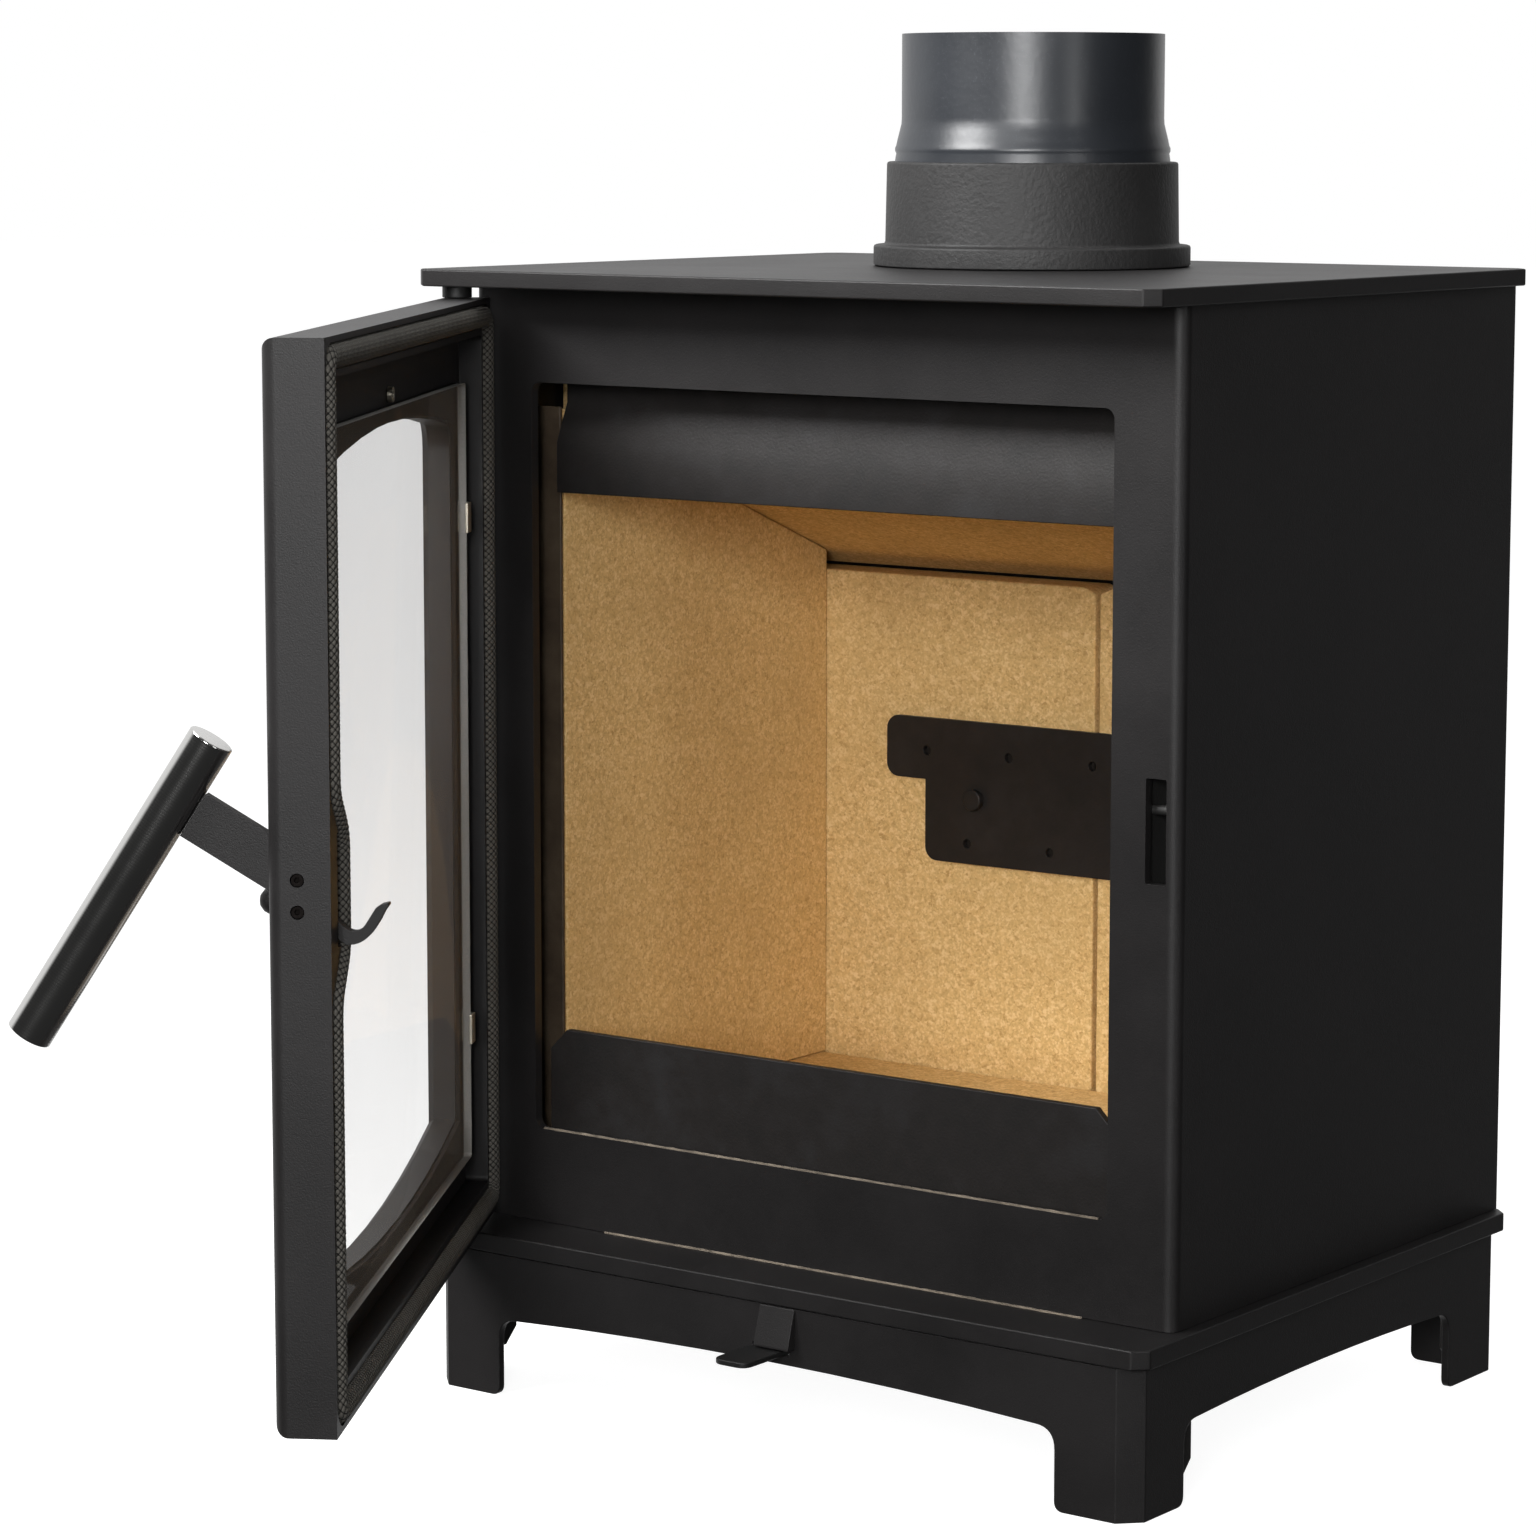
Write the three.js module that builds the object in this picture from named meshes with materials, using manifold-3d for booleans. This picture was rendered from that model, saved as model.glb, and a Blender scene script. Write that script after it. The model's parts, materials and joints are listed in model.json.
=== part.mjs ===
// Wood burning stove: steel body on a skirted plinth, flue spigot with a length of pipe, lined firebox,
// side hinged glazed door shown part open, tilting door handle with a hook, sliding air lever.
// Millimetres, +Z up, the door faces -Y, the floor is z = 0.
import * as THREE from "three";
import { mergeVertices } from "three/addons/utils/BufferGeometryUtils.js";
import Module from "manifold-3d";

const wasm = await Module();
wasm.setup();

// ---------- fits ----------
const GAP = 0.3; // between parts that touch
const HINGE_CLEARANCE = 0.3; // radial, pin to door
const PIVOT_CLEARANCE = 0.3; // radial, pin to lever
const SEGMENTS = 40;

// ---------- overall sizes, which the rest follows ----------
const BODY_WIDTH = 396;
const BODY_DEPTH = 298;
const BODY_HEIGHT = 449;
const PLINTH_HEIGHT = 69.4;
const BASE_THICKNESS = 9;
const BASE_Z = PLINTH_HEIGHT + GAP;
const BODY_Z = BASE_Z + BASE_THICKNESS + GAP;
const BODY_TOP = BODY_Z + BODY_HEIGHT;

// ---------- plinth ----------
const PLINTH_WIDTH = BODY_WIDTH + 4;
const PLINTH_FRONT = -34;
const PLINTH_REAR = BODY_DEPTH - 8;
const PLINTH_SHEET = 4;
const PLINTH_CORNER = 9.5; // folded 45 degree corner
const LEG_WIDTH = 41.5;
const ARCH_SPRING = 37.6; // arch height beside the legs
const ARCH_RISE_FRONT = 4.6;
const ARCH_RISE_SIDE = 2.8;
const ARCH_FILLET = 10;
const LEG_CORNER = 5;
const BRACKET_ACROSS = 18;
const BRACKET_BACK_FRONT = 50;
const BRACKET_BACK_REAR = 33;
const BRACKET_SHEET = 3;
const BRACKET_BOTTOM = 10;
const BRACKET_TOP = 60;
const BRACKET_CHAMFER = 8;

// ---------- plates and body ----------
const BASE_WIDTH = BODY_WIDTH + 13;
const BASE_FRONT = -35;
const BASE_REAR = BODY_DEPTH + 2;
const PLATE_CHAMFER = 6.3; // clipped corners of both plates
const BODY_SHEET = 5;
const BODY_BEND = 6;
const TOP_WIDTH = BODY_WIDTH + 15;
const TOP_FRONT = -36;
const TOP_REAR = BODY_DEPTH + 2;
const TOP_THICKNESS = 8;

// ---------- front plate openings ----------
const OPENING_WIDTH = BODY_WIDTH - 70;
const OPENING_HEIGHT = BODY_HEIGHT - 90.5;
const OPENING_SILL = 45.5; // above the base plate
const OPENING_CORNER = 5;
const SLOT_X = BODY_WIDTH / 2 - 11.8;
const SLOT_WIDTH = 10.6;
const SLOT_HEIGHT = 46.5;
const SLOT_CENTRE_Z = BODY_Z + BODY_HEIGHT / 2 - 3.2;

// ---------- flue ----------
const FLUE_Y = BODY_DEPTH - 118;
const PIPE_RADIUS = 62.7;
const PIPE_WALL = 2;
const PIPE_TOP = BODY_TOP + 118.5;
const SOCKET_RADIUS = 65.8; // swaged end of the pipe
const SWAGE_TOP = BODY_TOP + 76;
const SWAGE_BOTTOM = BODY_TOP + 61;
const COLLAR_RADIUS = 70.4;
const COLLAR_TAPER = 0.7;
const COLLAR_HEIGHT = 49.5;
const COLLAR_CLEARANCE = 0.6;
const COLLAR_LEDGE = 14; // height of the ledge the pipe stands on
const FLANGE_RADIUS = 76;
const FLANGE_THICKNESS = 10;

// ---------- firebox lining ----------
const BRICK = 25;
const BRICK_CHAMFER = 3;
const LINING_CLEARANCE = 3; // body side to brick
const BRICK_FRONT = 24;
const BACK_FACE = BODY_DEPTH - 57;
const BACK_BRICK_TOP = BODY_TOP - 152;
const HEARTH_TOP = BODY_Z + 43.8;
const RETAINER_SHEET = 1.8; // strips that hold the side bricks
const RETAINER_LAP = 1.5; // how far a strip passes the inner face of its brick
const BAFFLE_ANGLE = 21.2; // degrees, rising to the front
const BAFFLE_REAR_Z = BACK_BRICK_TOP + 10.5; // underside at the back bricks
const BAFFLE_FRONT = 56;

// ---------- secondary air plate ----------
const BAND_WIDTH = 250;
const BAND_HEIGHT = 31.5;
const STEM_WIDTH = 202;
const STEM_HEIGHT = 41.5;
const AIR_PLATE_BOTTOM = BACK_BRICK_TOP - 145;
const AIR_PLATE_SHEET = 3;
const AIR_PLATE_CORNER = 7;
const AIR_HOLE = 5;
const AIR_HOLE_PITCH = 50;
const AIR_HOLES_TOP = 5;
const AIR_HOLES_LOW = 4;
const AIR_BOLT_SPACING = 140;
const AIR_BOLT_RADIUS = 5.5;

// ---------- air wash and log fence ----------
const WASH_WIDTH = OPENING_WIDTH - 4;
const WASH_SHEET = 2.5;
const WASH_Y = 16;
const WASH_LIP_BOTTOM = BODY_TOP - 98;
const WASH_BEND = BODY_TOP - 74;
const WASH_TOP = BODY_TOP - 55.5;
const WASH_FLANGE = BODY_TOP - 31; // hidden behind the top of the opening
const WASH_LEAN = 8;
const FENCE_WIDTH = OPENING_WIDTH - 4;
const FENCE_SHEET = 4;
const FENCE_Y = 9;
const FENCE_BOTTOM = BODY_Z + 33;
const FENCE_TOP = BODY_Z + 93.3;
const FENCE_CHAMFER = 10;

// ---------- latch keeper ----------
const KEEPER_Y = 7.6;
const KEEPER_Z = SLOT_CENTRE_Z + 8.7;
const KEEPER_RADIUS = 2.3;
const KEEPER_SHEET = 2.5;
const KEEPER_HEIGHT = 70;
const KEEPER_BACK = 21.4;

// ---------- door ----------
const DOOR_OPEN = 59; // degrees open as modelled
const DOOR_WIDTH = BODY_WIDTH + 11;
const DOOR_BOTTOM = BODY_Z + 3;
const DOOR_HEIGHT = BODY_HEIGHT - 8.6;
const DOOR_DEPTH = 25.8;
const DOOR_STANDOFF = 4; // rim to front plate when closed
const DOOR_ROUND = 6;
const DOOR_PANEL = 13.3;
const HINGE_X = 10.5 - DOOR_WIDTH / 2;
const HINGE_Y = 11.8 - DOOR_STANDOFF - DOOR_DEPTH;
const HINGE_PIN_RADIUS = 4;
const HINGE_SHOULDER_RADIUS = 7;
const HINGE_REACH = 12;
const RIM = 2.5;
const ROPE_WIDTH = 11.1;
const ROPE_CLEARANCE = 0.2;
const ROPE_PROUD = 3;
const GROOVE_DEPTH = 8.6;
const GROOVE_WALL = 3;
const DETOUR_BELOW = 40.5; // the rope goes round the inner side of the lever slot
const DETOUR_ABOVE = 36.5;
const WALL_DROP = 1.5;
const WINDOW_WIDTH = DOOR_WIDTH - 2 * ROPE_WIDTH - 66.8;
const WINDOW_TOP = DOOR_BOTTOM + DOOR_HEIGHT - 46.4;
const WINDOW_BOTTOM = DOOR_BOTTOM + 41.5;
const WINDOW_BULGE = 11.5; // rise of the arched top and bottom edges
const WINDOW_CORNER = 12;
const WINDOW_BEVEL = 3;
const GLASS_LAP = 8;
const GLASS_THICKNESS = 4;
const GASKET_THICKNESS = 2;
const CLIP_Z = (WINDOW_TOP - WINDOW_BOTTOM) / 2 - 54.75; // above and below the middle of the glass
const CLIP_HEIGHT = 14;
const CLIP_SHEET = 1.5;
const CLIP_LAP = 7;
const CLIP_FOOT = 9;
const SCREW_RADIUS = 3.4;

// ---------- handle ----------
const HANDLE_TILT = 32.3; // degrees lifted as modelled
const LEVER_X = DOOR_WIDTH / 2 - 17.5;
const LEVER_THICKNESS = 5.6;
const LEVER_SLOT_CLEARANCE = 0.6;
const PIVOT_Y = 12.3 - DOOR_STANDOFF - DOOR_DEPTH;
const PIVOT_Z = SLOT_CENTRE_Z + 2.2;
const PIVOT_RADIUS = 3.5;
const ARM_REACH = 63.4; // pivot to the axis of the bar
const ARM_HEIGHT = 20;
const ARM_MIDDLE = 1.1; // middle of the arm above the pivot, at the bar
const ARM_RISE = 1; // from the bar to the door
const BAR_RADIUS = 9.5;
const BAR_LENGTH = 143.5;
const BAR_ABOVE = 30.9; // bar top above the pivot when latched
const HOOK_REACH = KEEPER_Y - PIVOT_Y + 6.8;
const HOOK_RISE = 14;
const HOOK_THICKNESS = 4.1;
const LEVER_SLOT_BELOW = 23;
const LEVER_SLOT_ABOVE = 23.5;
const PIN_SEAT = 6.5; // pin end in the casting, left of the slot
const PIN_END = 3.6; // and right of it
const EDGE_SCREW_RADIUS = 2.6;
const EDGE_SCREW_SPACING = 12.8;
const EDGE_SCREW_DROP = 0.2; // middle of the pair below the pivot
const DOME_RADIUS = 5.8;
const DOME_HEIGHT = 8.2;
const DOME_X = LEVER_X - 10.3;
const DOME_DROP = 6.5;

// ---------- air lever ----------
const AIR_X = 3.4;
const AIR_LEVER_WIDTH = 19.2;
const AIR_LEVER_THICKNESS = 2.6;
const AIR_LEVER_Z = 48.6;
const AIR_LEVER_OUT = 32; // beyond the plinth
const AIR_LEVER_IN = 52;
const AIR_SLOT_CLEARANCE = 0.7;
const HOOD_WIDTH = 19.5;
const HOOD_OFFSET = 4.3;
const HOOD_DEPTH = 5.5;

// ---------- values worked out from the above ----------
const TOP_Z = BODY_Z + BODY_HEIGHT + GAP;
const FLANGE_Z = TOP_Z + TOP_THICKNESS + GAP;
const COLLAR_TOP = FLANGE_Z + COLLAR_HEIGHT;
const COLLAR_BORE = SOCKET_RADIUS + COLLAR_CLEARANCE;
const SILL_Z = BODY_Z + OPENING_SILL;
const BODY_INNER = BODY_WIDTH / 2 - BODY_SHEET;
const BRICK_OUTER = BODY_INNER - LINING_CLEARANCE;
const BRICK_INNER = BRICK_OUTER - BRICK;
const SLOPE = Math.tan(THREE.MathUtils.degToRad(BAFFLE_ANGLE));
const DOOR_TOP = DOOR_BOTTOM + DOOR_HEIGHT;
const DOOR_MIDDLE = DOOR_BOTTOM + DOOR_HEIGHT / 2;
const DOOR_INNER = -DOOR_STANDOFF;
const DOOR_OUTER = DOOR_INNER - DOOR_DEPTH;
const PANEL_FACE = DOOR_OUTER + DOOR_PANEL;
const GROOVE_FLOOR = DOOR_INNER - GROOVE_DEPTH;
const GROOVE_WIDTH = ROPE_WIDTH + 2 * ROPE_CLEARANCE;
const RECESS_INSET = RIM + GROOVE_WIDTH + GROOVE_WALL;
const GLASS_WIDTH = WINDOW_WIDTH + 2 * GLASS_LAP;
const GLASS_BOTTOM = WINDOW_BOTTOM - GLASS_LAP;
const GLASS_TOP = WINDOW_TOP + GLASS_LAP;
const GLASS_FACE = PANEL_FACE + GAP + GASKET_THICKNESS + GAP;
const GLASS_BACK = GLASS_FACE + GLASS_THICKNESS;
const LEVER_LEFT = LEVER_X - LEVER_THICKNESS / 2;
const LEVER_RIGHT = LEVER_X + LEVER_THICKNESS / 2;
const SLOT_LEFT = LEVER_LEFT - LEVER_SLOT_CLEARANCE;
const SLOT_RIGHT = LEVER_RIGHT + LEVER_SLOT_CLEARANCE;
const DETOUR = DOOR_WIDTH / 2 - RIM - SLOT_LEFT - 0.1;
const EDGE_SCREW_Z = PIVOT_Z - EDGE_SCREW_DROP;

// ---------- materials ----------
const paint = (name, color, roughness, metalness) =>
  Object.assign(new THREE.MeshStandardMaterial({ color, roughness, metalness }), { name });
const STOVE_PAINT = paint("stove_paint", 0x2f2f31, 0.55, 0.3);
const CAST_IRON = paint("cast_iron", 0x2a2a2b, 0.75, 0.3);
const ENAMEL = paint("enamel", 0x2b2f33, 0.3, 0.2);
const SOOTY_STEEL = paint("sooty_steel", 0x1b1a1a, 0.6, 0.4);
const VERMICULITE = paint("vermiculite", 0xc9995a, 0.95, 0);
const ROPE = paint("rope", 0x55524d, 0.95, 0);
const CERAMIC_GLASS = paint("ceramic_glass", 0xd8d2c8, 0.05, 0);
const STAINLESS = paint("stainless", 0xc8c8c6, 0.2, 1);
const ZINC = paint("zinc", 0xa9a392, 0.4, 0.9);

// ---------- solid helpers ----------
function toSolid(geometry) {
  const bare = geometry.clone();
  bare.deleteAttribute("normal");
  bare.deleteAttribute("uv");
  const merged = mergeVertices(bare, 1e-4);
  const solid = new wasm.Manifold(
    new wasm.Mesh({
      numProp: 3,
      vertProperties: new Float32Array(merged.attributes.position.array),
      triVerts: new Uint32Array(merged.index.array),
    }),
  );
  return solid;
}

function toGeometry(solid) {
  const mesh = solid.getMesh();
  const geometry = new THREE.BufferGeometry();
  const values = new Float32Array(mesh.vertProperties);
  geometry.setAttribute("position", new THREE.BufferAttribute(values, 3));
  geometry.setIndex(new THREE.BufferAttribute(new Uint32Array(mesh.triVerts), 1));
  return geometry;
}

const join = (first, ...rest) => rest.reduce((sum, next) => sum.add(next), first);
const cut = (first, ...rest) => rest.reduce((sum, next) => sum.subtract(next), first);

function block(x0, x1, y0, y1, z0, z1) {
  const geometry = new THREE.BoxGeometry(x1 - x0, y1 - y0, z1 - z0);
  geometry.translate((x0 + x1) / 2, (y0 + y1) / 2, (z0 + z1) / 2);
  return toSolid(geometry);
}

function extrude(shape, length) {
  const curveSegments = 8;
  return new THREE.ExtrudeGeometry(shape, { depth: length, bevelEnabled: false, curveSegments });
}

// A plan outline (x, y) raised from z0 to z1.
function raise(shape, z0, z1) {
  const geometry = extrude(shape, z1 - z0);
  geometry.translate(0, 0, z0);
  return toSolid(geometry);
}

// A front outline (x, z) carried from y0 back to y1.
function carry(shape, y0, y1) {
  const geometry = extrude(shape, y1 - y0);
  geometry.rotateX(Math.PI / 2);
  geometry.translate(0, y1, 0);
  return toSolid(geometry);
}

// A side outline (y, z) carried from x0 across to x1.
function span(shape, x0, x1) {
  const geometry = extrude(shape, x1 - x0);
  geometry.rotateX(Math.PI / 2);
  geometry.rotateZ(Math.PI / 2);
  geometry.translate(x0, 0, 0);
  return toSolid(geometry);
}

// An outline (radius, height) turned about the z axis.
function turn(outline, segments = SEGMENTS) {
  const points = outline.map(([radius, height]) => new THREE.Vector2(radius, height));
  const geometry = new THREE.LatheGeometry(points, segments);
  geometry.rotateX(Math.PI / 2);
  return toSolid(geometry);
}

function rod(radius, z0, z1, segments = 24) {
  const geometry = new THREE.CylinderGeometry(radius, radius, z1 - z0, segments);
  geometry.rotateX(Math.PI / 2);
  geometry.translate(0, 0, (z0 + z1) / 2);
  return toSolid(geometry);
}

const alongX = (solid) => solid.rotate([0, 90, 0]);
const alongY = (solid) => solid.rotate([-90, 0, 0]);
const at = (solid, x, y, z) => solid.translate([x, y, z]);

function outline(points) {
  return new THREE.Shape(points.map(([u, v]) => new THREE.Vector2(u, v)));
}

// The points of a dent in the right hand side may be given, from the bottom up.
function roundedBox(u0, u1, v0, v1, radius, dent = []) {
  const shape = new THREE.Shape();
  shape.moveTo(u0 + radius, v0);
  shape.lineTo(u1 - radius, v0);
  shape.absarc(u1 - radius, v0 + radius, radius, -Math.PI / 2, 0, false);
  dent.forEach(([u, v]) => shape.lineTo(u, v));
  shape.lineTo(u1, v1 - radius);
  shape.absarc(u1 - radius, v1 - radius, radius, 0, Math.PI / 2, false);
  shape.lineTo(u0 + radius, v1);
  shape.absarc(u0 + radius, v1 - radius, radius, Math.PI / 2, Math.PI, false);
  shape.lineTo(u0, v0 + radius);
  shape.absarc(u0 + radius, v0 + radius, radius, Math.PI, 1.5 * Math.PI, false);
  return shape;
}

function clippedPlate(width, front, rear, chamfer) {
  const half = width / 2;
  return outline([
    [-half + chamfer, front],
    [half - chamfer, front],
    [half, front + chamfer],
    [half, rear - chamfer],
    [half - chamfer, rear],
    [-half + chamfer, rear],
    [-half, rear - chamfer],
    [-half, front + chamfer],
  ]);
}

const group = new THREE.Group();
group.name = "wood_burning_stove";
const stove = new THREE.Group();
group.add(stove);
const doorHinge = new THREE.Group();
doorHinge.position.set(HINGE_X, HINGE_Y, 0);
doorHinge.rotation.z = -THREE.MathUtils.degToRad(DOOR_OPEN);
stove.add(doorHinge);
const doorFrame = new THREE.Group();
doorFrame.position.set(-HINGE_X, -HINGE_Y, 0);
doorHinge.add(doorFrame);
const handlePivot = new THREE.Group();
handlePivot.position.set(0, PIVOT_Y, PIVOT_Z);
handlePivot.rotation.x = -THREE.MathUtils.degToRad(HANDLE_TILT);
doorFrame.add(handlePivot);
const handleFrame = new THREE.Group();
handleFrame.position.set(0, -PIVOT_Y, -PIVOT_Z);
handlePivot.add(handleFrame);

function place(name, solid, material, parent = stove) {
  const mesh = new THREE.Mesh(toGeometry(solid), material);
  mesh.name = name;
  parent.add(mesh);
}

// ---------- plinth ----------
function archCutter(start, end, rise) {
  const shape = new THREE.Shape();
  const middle = (start + end) / 2;
  const low = ARCH_SPRING - ARCH_FILLET;
  shape.moveTo(start - LEG_CORNER, -1);
  shape.lineTo(end + LEG_CORNER, -1);
  shape.lineTo(end + LEG_CORNER, 0);
  shape.quadraticCurveTo(end, 0, end, LEG_CORNER);
  shape.lineTo(end, low);
  shape.quadraticCurveTo(end, ARCH_SPRING, end - ARCH_FILLET, ARCH_SPRING + 0.3);
  const crown = ARCH_SPRING + 2 * rise;
  shape.quadraticCurveTo(middle, crown, start + ARCH_FILLET, ARCH_SPRING + 0.3);
  shape.quadraticCurveTo(start, ARCH_SPRING, start, low);
  shape.lineTo(start, LEG_CORNER);
  shape.quadraticCurveTo(start, 0, start - LEG_CORNER, 0);
  return shape;
}

function plinthOutline(inset) {
  const half = PLINTH_WIDTH / 2 - inset;
  const front = PLINTH_FRONT + inset;
  const rear = PLINTH_REAR - inset;
  const corner = PLINTH_CORNER - inset * 0.586;
  return outline([
    [-half + corner, front],
    [half - corner, front],
    [half, front + corner],
    [half, rear],
    [-half, rear],
    [-half, front + corner],
  ]);
}

function plinth() {
  const shell = cut(
    raise(plinthOutline(0), 0, PLINTH_HEIGHT),
    raise(plinthOutline(PLINTH_SHEET), -1, PLINTH_HEIGHT + 1),
  );
  const legEdge = PLINTH_WIDTH / 2 - LEG_WIDTH;
  const frontArch = archCutter(-legEdge, legEdge, ARCH_RISE_FRONT);
  const sideArch = archCutter(PLINTH_FRONT + LEG_WIDTH, PLINTH_REAR - LEG_WIDTH, ARCH_RISE_SIDE);
  const wide = AIR_LEVER_WIDTH / 2 + AIR_SLOT_CLEARANCE;
  const tall = AIR_LEVER_THICKNESS / 2 + AIR_SLOT_CLEARANCE;
  const front = PLINTH_FRONT;
  return cut(
    shell,
    carry(frontArch, PLINTH_FRONT - 20, PLINTH_REAR + 20),
    span(sideArch, -PLINTH_WIDTH, PLINTH_WIDTH),
    block(
      AIR_X - wide,
      AIR_X + wide,
      front - 1,
      front + PLINTH_SHEET + 1,
      AIR_LEVER_Z - tall,
      AIR_LEVER_Z + tall,
    ),
  );
}

// An angle inside one leg; right and rear are +1 or -1.
function legBracket(right, rear) {
  const x = PLINTH_WIDTH / 2 - PLINTH_SHEET - GAP;
  const y = rear > 0 ? PLINTH_REAR - PLINTH_SHEET - GAP : PLINTH_FRONT + PLINTH_SHEET + GAP;
  const clip = rear > 0 ? 0 : PLINTH_CORNER;
  const inward = -rear;
  const long = rear > 0 ? BRACKET_BACK_REAR : BRACKET_BACK_FRONT;
  const endX = x - BRACKET_ACROSS;
  const endY = y + inward * long;
  const mirrored = (points) => outline(points.map(([u, v]) => [right * u, v]));
  const angle = mirrored([
    [x - clip, y],
    [x, y + inward * clip],
    [x, endY],
    [x - BRACKET_SHEET, endY],
    [x - BRACKET_SHEET, y + inward * (BRACKET_SHEET + clip)],
    [x - BRACKET_SHEET - clip, y + inward * BRACKET_SHEET],
    [endX, y + inward * BRACKET_SHEET],
    [endX, y],
  ]);
  const low = BRACKET_BOTTOM;
  const across = mirrored([
    [endX - 1, low - 1],
    [endX + BRACKET_CHAMFER + 1, low - 1],
    [endX - 1, low + BRACKET_CHAMFER + 1],
  ]);
  const back = outline([
    [endY - inward * (BRACKET_CHAMFER + 1), low - 1],
    [endY + inward, low - 1],
    [endY + inward, low + BRACKET_CHAMFER + 1],
  ]);
  return cut(
    raise(angle, low, BRACKET_TOP),
    carry(across, y - BRACKET_SHEET - 1, y + BRACKET_SHEET + 1),
    span(back, -x - 1, x + 1),
  );
}

function airHood() {
  const back = PLINTH_FRONT - GAP;
  const bottom = AIR_LEVER_Z + AIR_LEVER_THICKNESS / 2 + AIR_SLOT_CLEARANCE;
  const middle = AIR_X + HOOD_OFFSET;
  const shape = outline([
    [back, bottom],
    [back, BASE_Z - 2 * GAP],
    [back - 0.6, BASE_Z - 2 * GAP],
    [back - HOOD_DEPTH, bottom + 1.2],
    [back - HOOD_DEPTH, bottom],
  ]);
  return span(shape, middle - HOOD_WIDTH / 2, middle + HOOD_WIDTH / 2);
}

function airLever() {
  const half = AIR_LEVER_WIDTH / 2;
  const front = PLINTH_FRONT - AIR_LEVER_OUT;
  const shape = new THREE.Shape();
  shape.moveTo(AIR_X - half, front + 6);
  shape.quadraticCurveTo(AIR_X - half, front, AIR_X - half + 6, front);
  shape.lineTo(AIR_X + half - 6, front);
  shape.quadraticCurveTo(AIR_X + half, front, AIR_X + half, front + 6);
  shape.lineTo(AIR_X + half, PLINTH_FRONT + AIR_LEVER_IN);
  shape.lineTo(AIR_X - half, PLINTH_FRONT + AIR_LEVER_IN);
  return raise(
    shape,
    AIR_LEVER_Z - AIR_LEVER_THICKNESS / 2,
    AIR_LEVER_Z + AIR_LEVER_THICKNESS / 2,
  );
}

// ---------- body ----------
function bodyShell() {
  const half = BODY_WIDTH / 2;
  const sheet = BODY_SHEET;
  const outer = new THREE.Shape();
  outer.moveTo(-half, BODY_DEPTH);
  outer.lineTo(-half, BODY_BEND);
  outer.absarc(-half + BODY_BEND, BODY_BEND, BODY_BEND, Math.PI, 1.5 * Math.PI, false);
  outer.lineTo(half - BODY_BEND, 0);
  outer.absarc(half - BODY_BEND, BODY_BEND, BODY_BEND, 1.5 * Math.PI, 2 * Math.PI, false);
  outer.lineTo(half, BODY_DEPTH);
  const hollow = block(-half + sheet, half - sheet, sheet, BODY_DEPTH + 1, 0, TOP_Z + 1);
  const left = -OPENING_WIDTH / 2;
  const opening = roundedBox(left, -left, SILL_Z, SILL_Z + OPENING_HEIGHT, OPENING_CORNER);
  const slot = roundedBox(
    SLOT_X - SLOT_WIDTH / 2,
    SLOT_X + SLOT_WIDTH / 2,
    SLOT_CENTRE_Z - SLOT_HEIGHT / 2,
    SLOT_CENTRE_Z + SLOT_HEIGHT / 2,
    1,
  );
  const reach = 2 * BODY_SHEET;
  return cut(
    raise(outer, BODY_Z, BODY_Z + BODY_HEIGHT),
    hollow,
    carry(opening, -reach, reach),
    carry(slot, -reach, reach),
  );
}

function rearPlate() {
  const half = BODY_INNER - GAP;
  return block(-half, half, BODY_DEPTH - BODY_SHEET, BODY_DEPTH, BODY_Z, BODY_Z + BODY_HEIGHT);
}

function topPlate() {
  const plate = clippedPlate(TOP_WIDTH, TOP_FRONT, TOP_REAR, PLATE_CHAMFER);
  const hole = rod(COLLAR_BORE - 5, TOP_Z - 1, TOP_Z + TOP_THICKNESS + 1, SEGMENTS);
  return cut(raise(plate, TOP_Z, TOP_Z + TOP_THICKNESS), at(hole, 0, FLUE_Y, 0));
}

function basePlate() {
  const plate = clippedPlate(BASE_WIDTH, BASE_FRONT, BASE_REAR, PLATE_CHAMFER);
  return raise(plate, BASE_Z, BASE_Z + BASE_THICKNESS);
}

// ---------- flue ----------
function flueCollar() {
  const z = FLANGE_Z;
  return at(
    turn([
      [COLLAR_BORE - 5, z],
      [FLANGE_RADIUS, z],
      [FLANGE_RADIUS, z + FLANGE_THICKNESS],
      [COLLAR_RADIUS, z + FLANGE_THICKNESS],
      [COLLAR_RADIUS - COLLAR_TAPER, COLLAR_TOP],
      [COLLAR_BORE, COLLAR_TOP],
      [COLLAR_BORE, z + COLLAR_LEDGE],
      [COLLAR_BORE - 5, z + COLLAR_LEDGE],
      [COLLAR_BORE - 5, z],
    ]),
    0,
    FLUE_Y,
    0,
  );
}

function fluePipe() {
  const foot = FLANGE_Z + COLLAR_LEDGE + GAP;
  return at(
    turn([
      [SOCKET_RADIUS - PIPE_WALL, foot],
      [SOCKET_RADIUS, foot],
      [SOCKET_RADIUS, SWAGE_BOTTOM],
      [PIPE_RADIUS, SWAGE_TOP],
      [PIPE_RADIUS, PIPE_TOP],
      [PIPE_RADIUS - PIPE_WALL, PIPE_TOP],
      [PIPE_RADIUS - PIPE_WALL, SWAGE_TOP - 1],
      [SOCKET_RADIUS - PIPE_WALL, SWAGE_BOTTOM - 1],
      [SOCKET_RADIUS - PIPE_WALL, foot],
    ]),
    0,
    FLUE_Y,
    0,
  );
}

// ---------- firebox ----------
const baffleUnderside = (y) => BAFFLE_REAR_Z + (BACK_FACE - y) * SLOPE;

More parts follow.
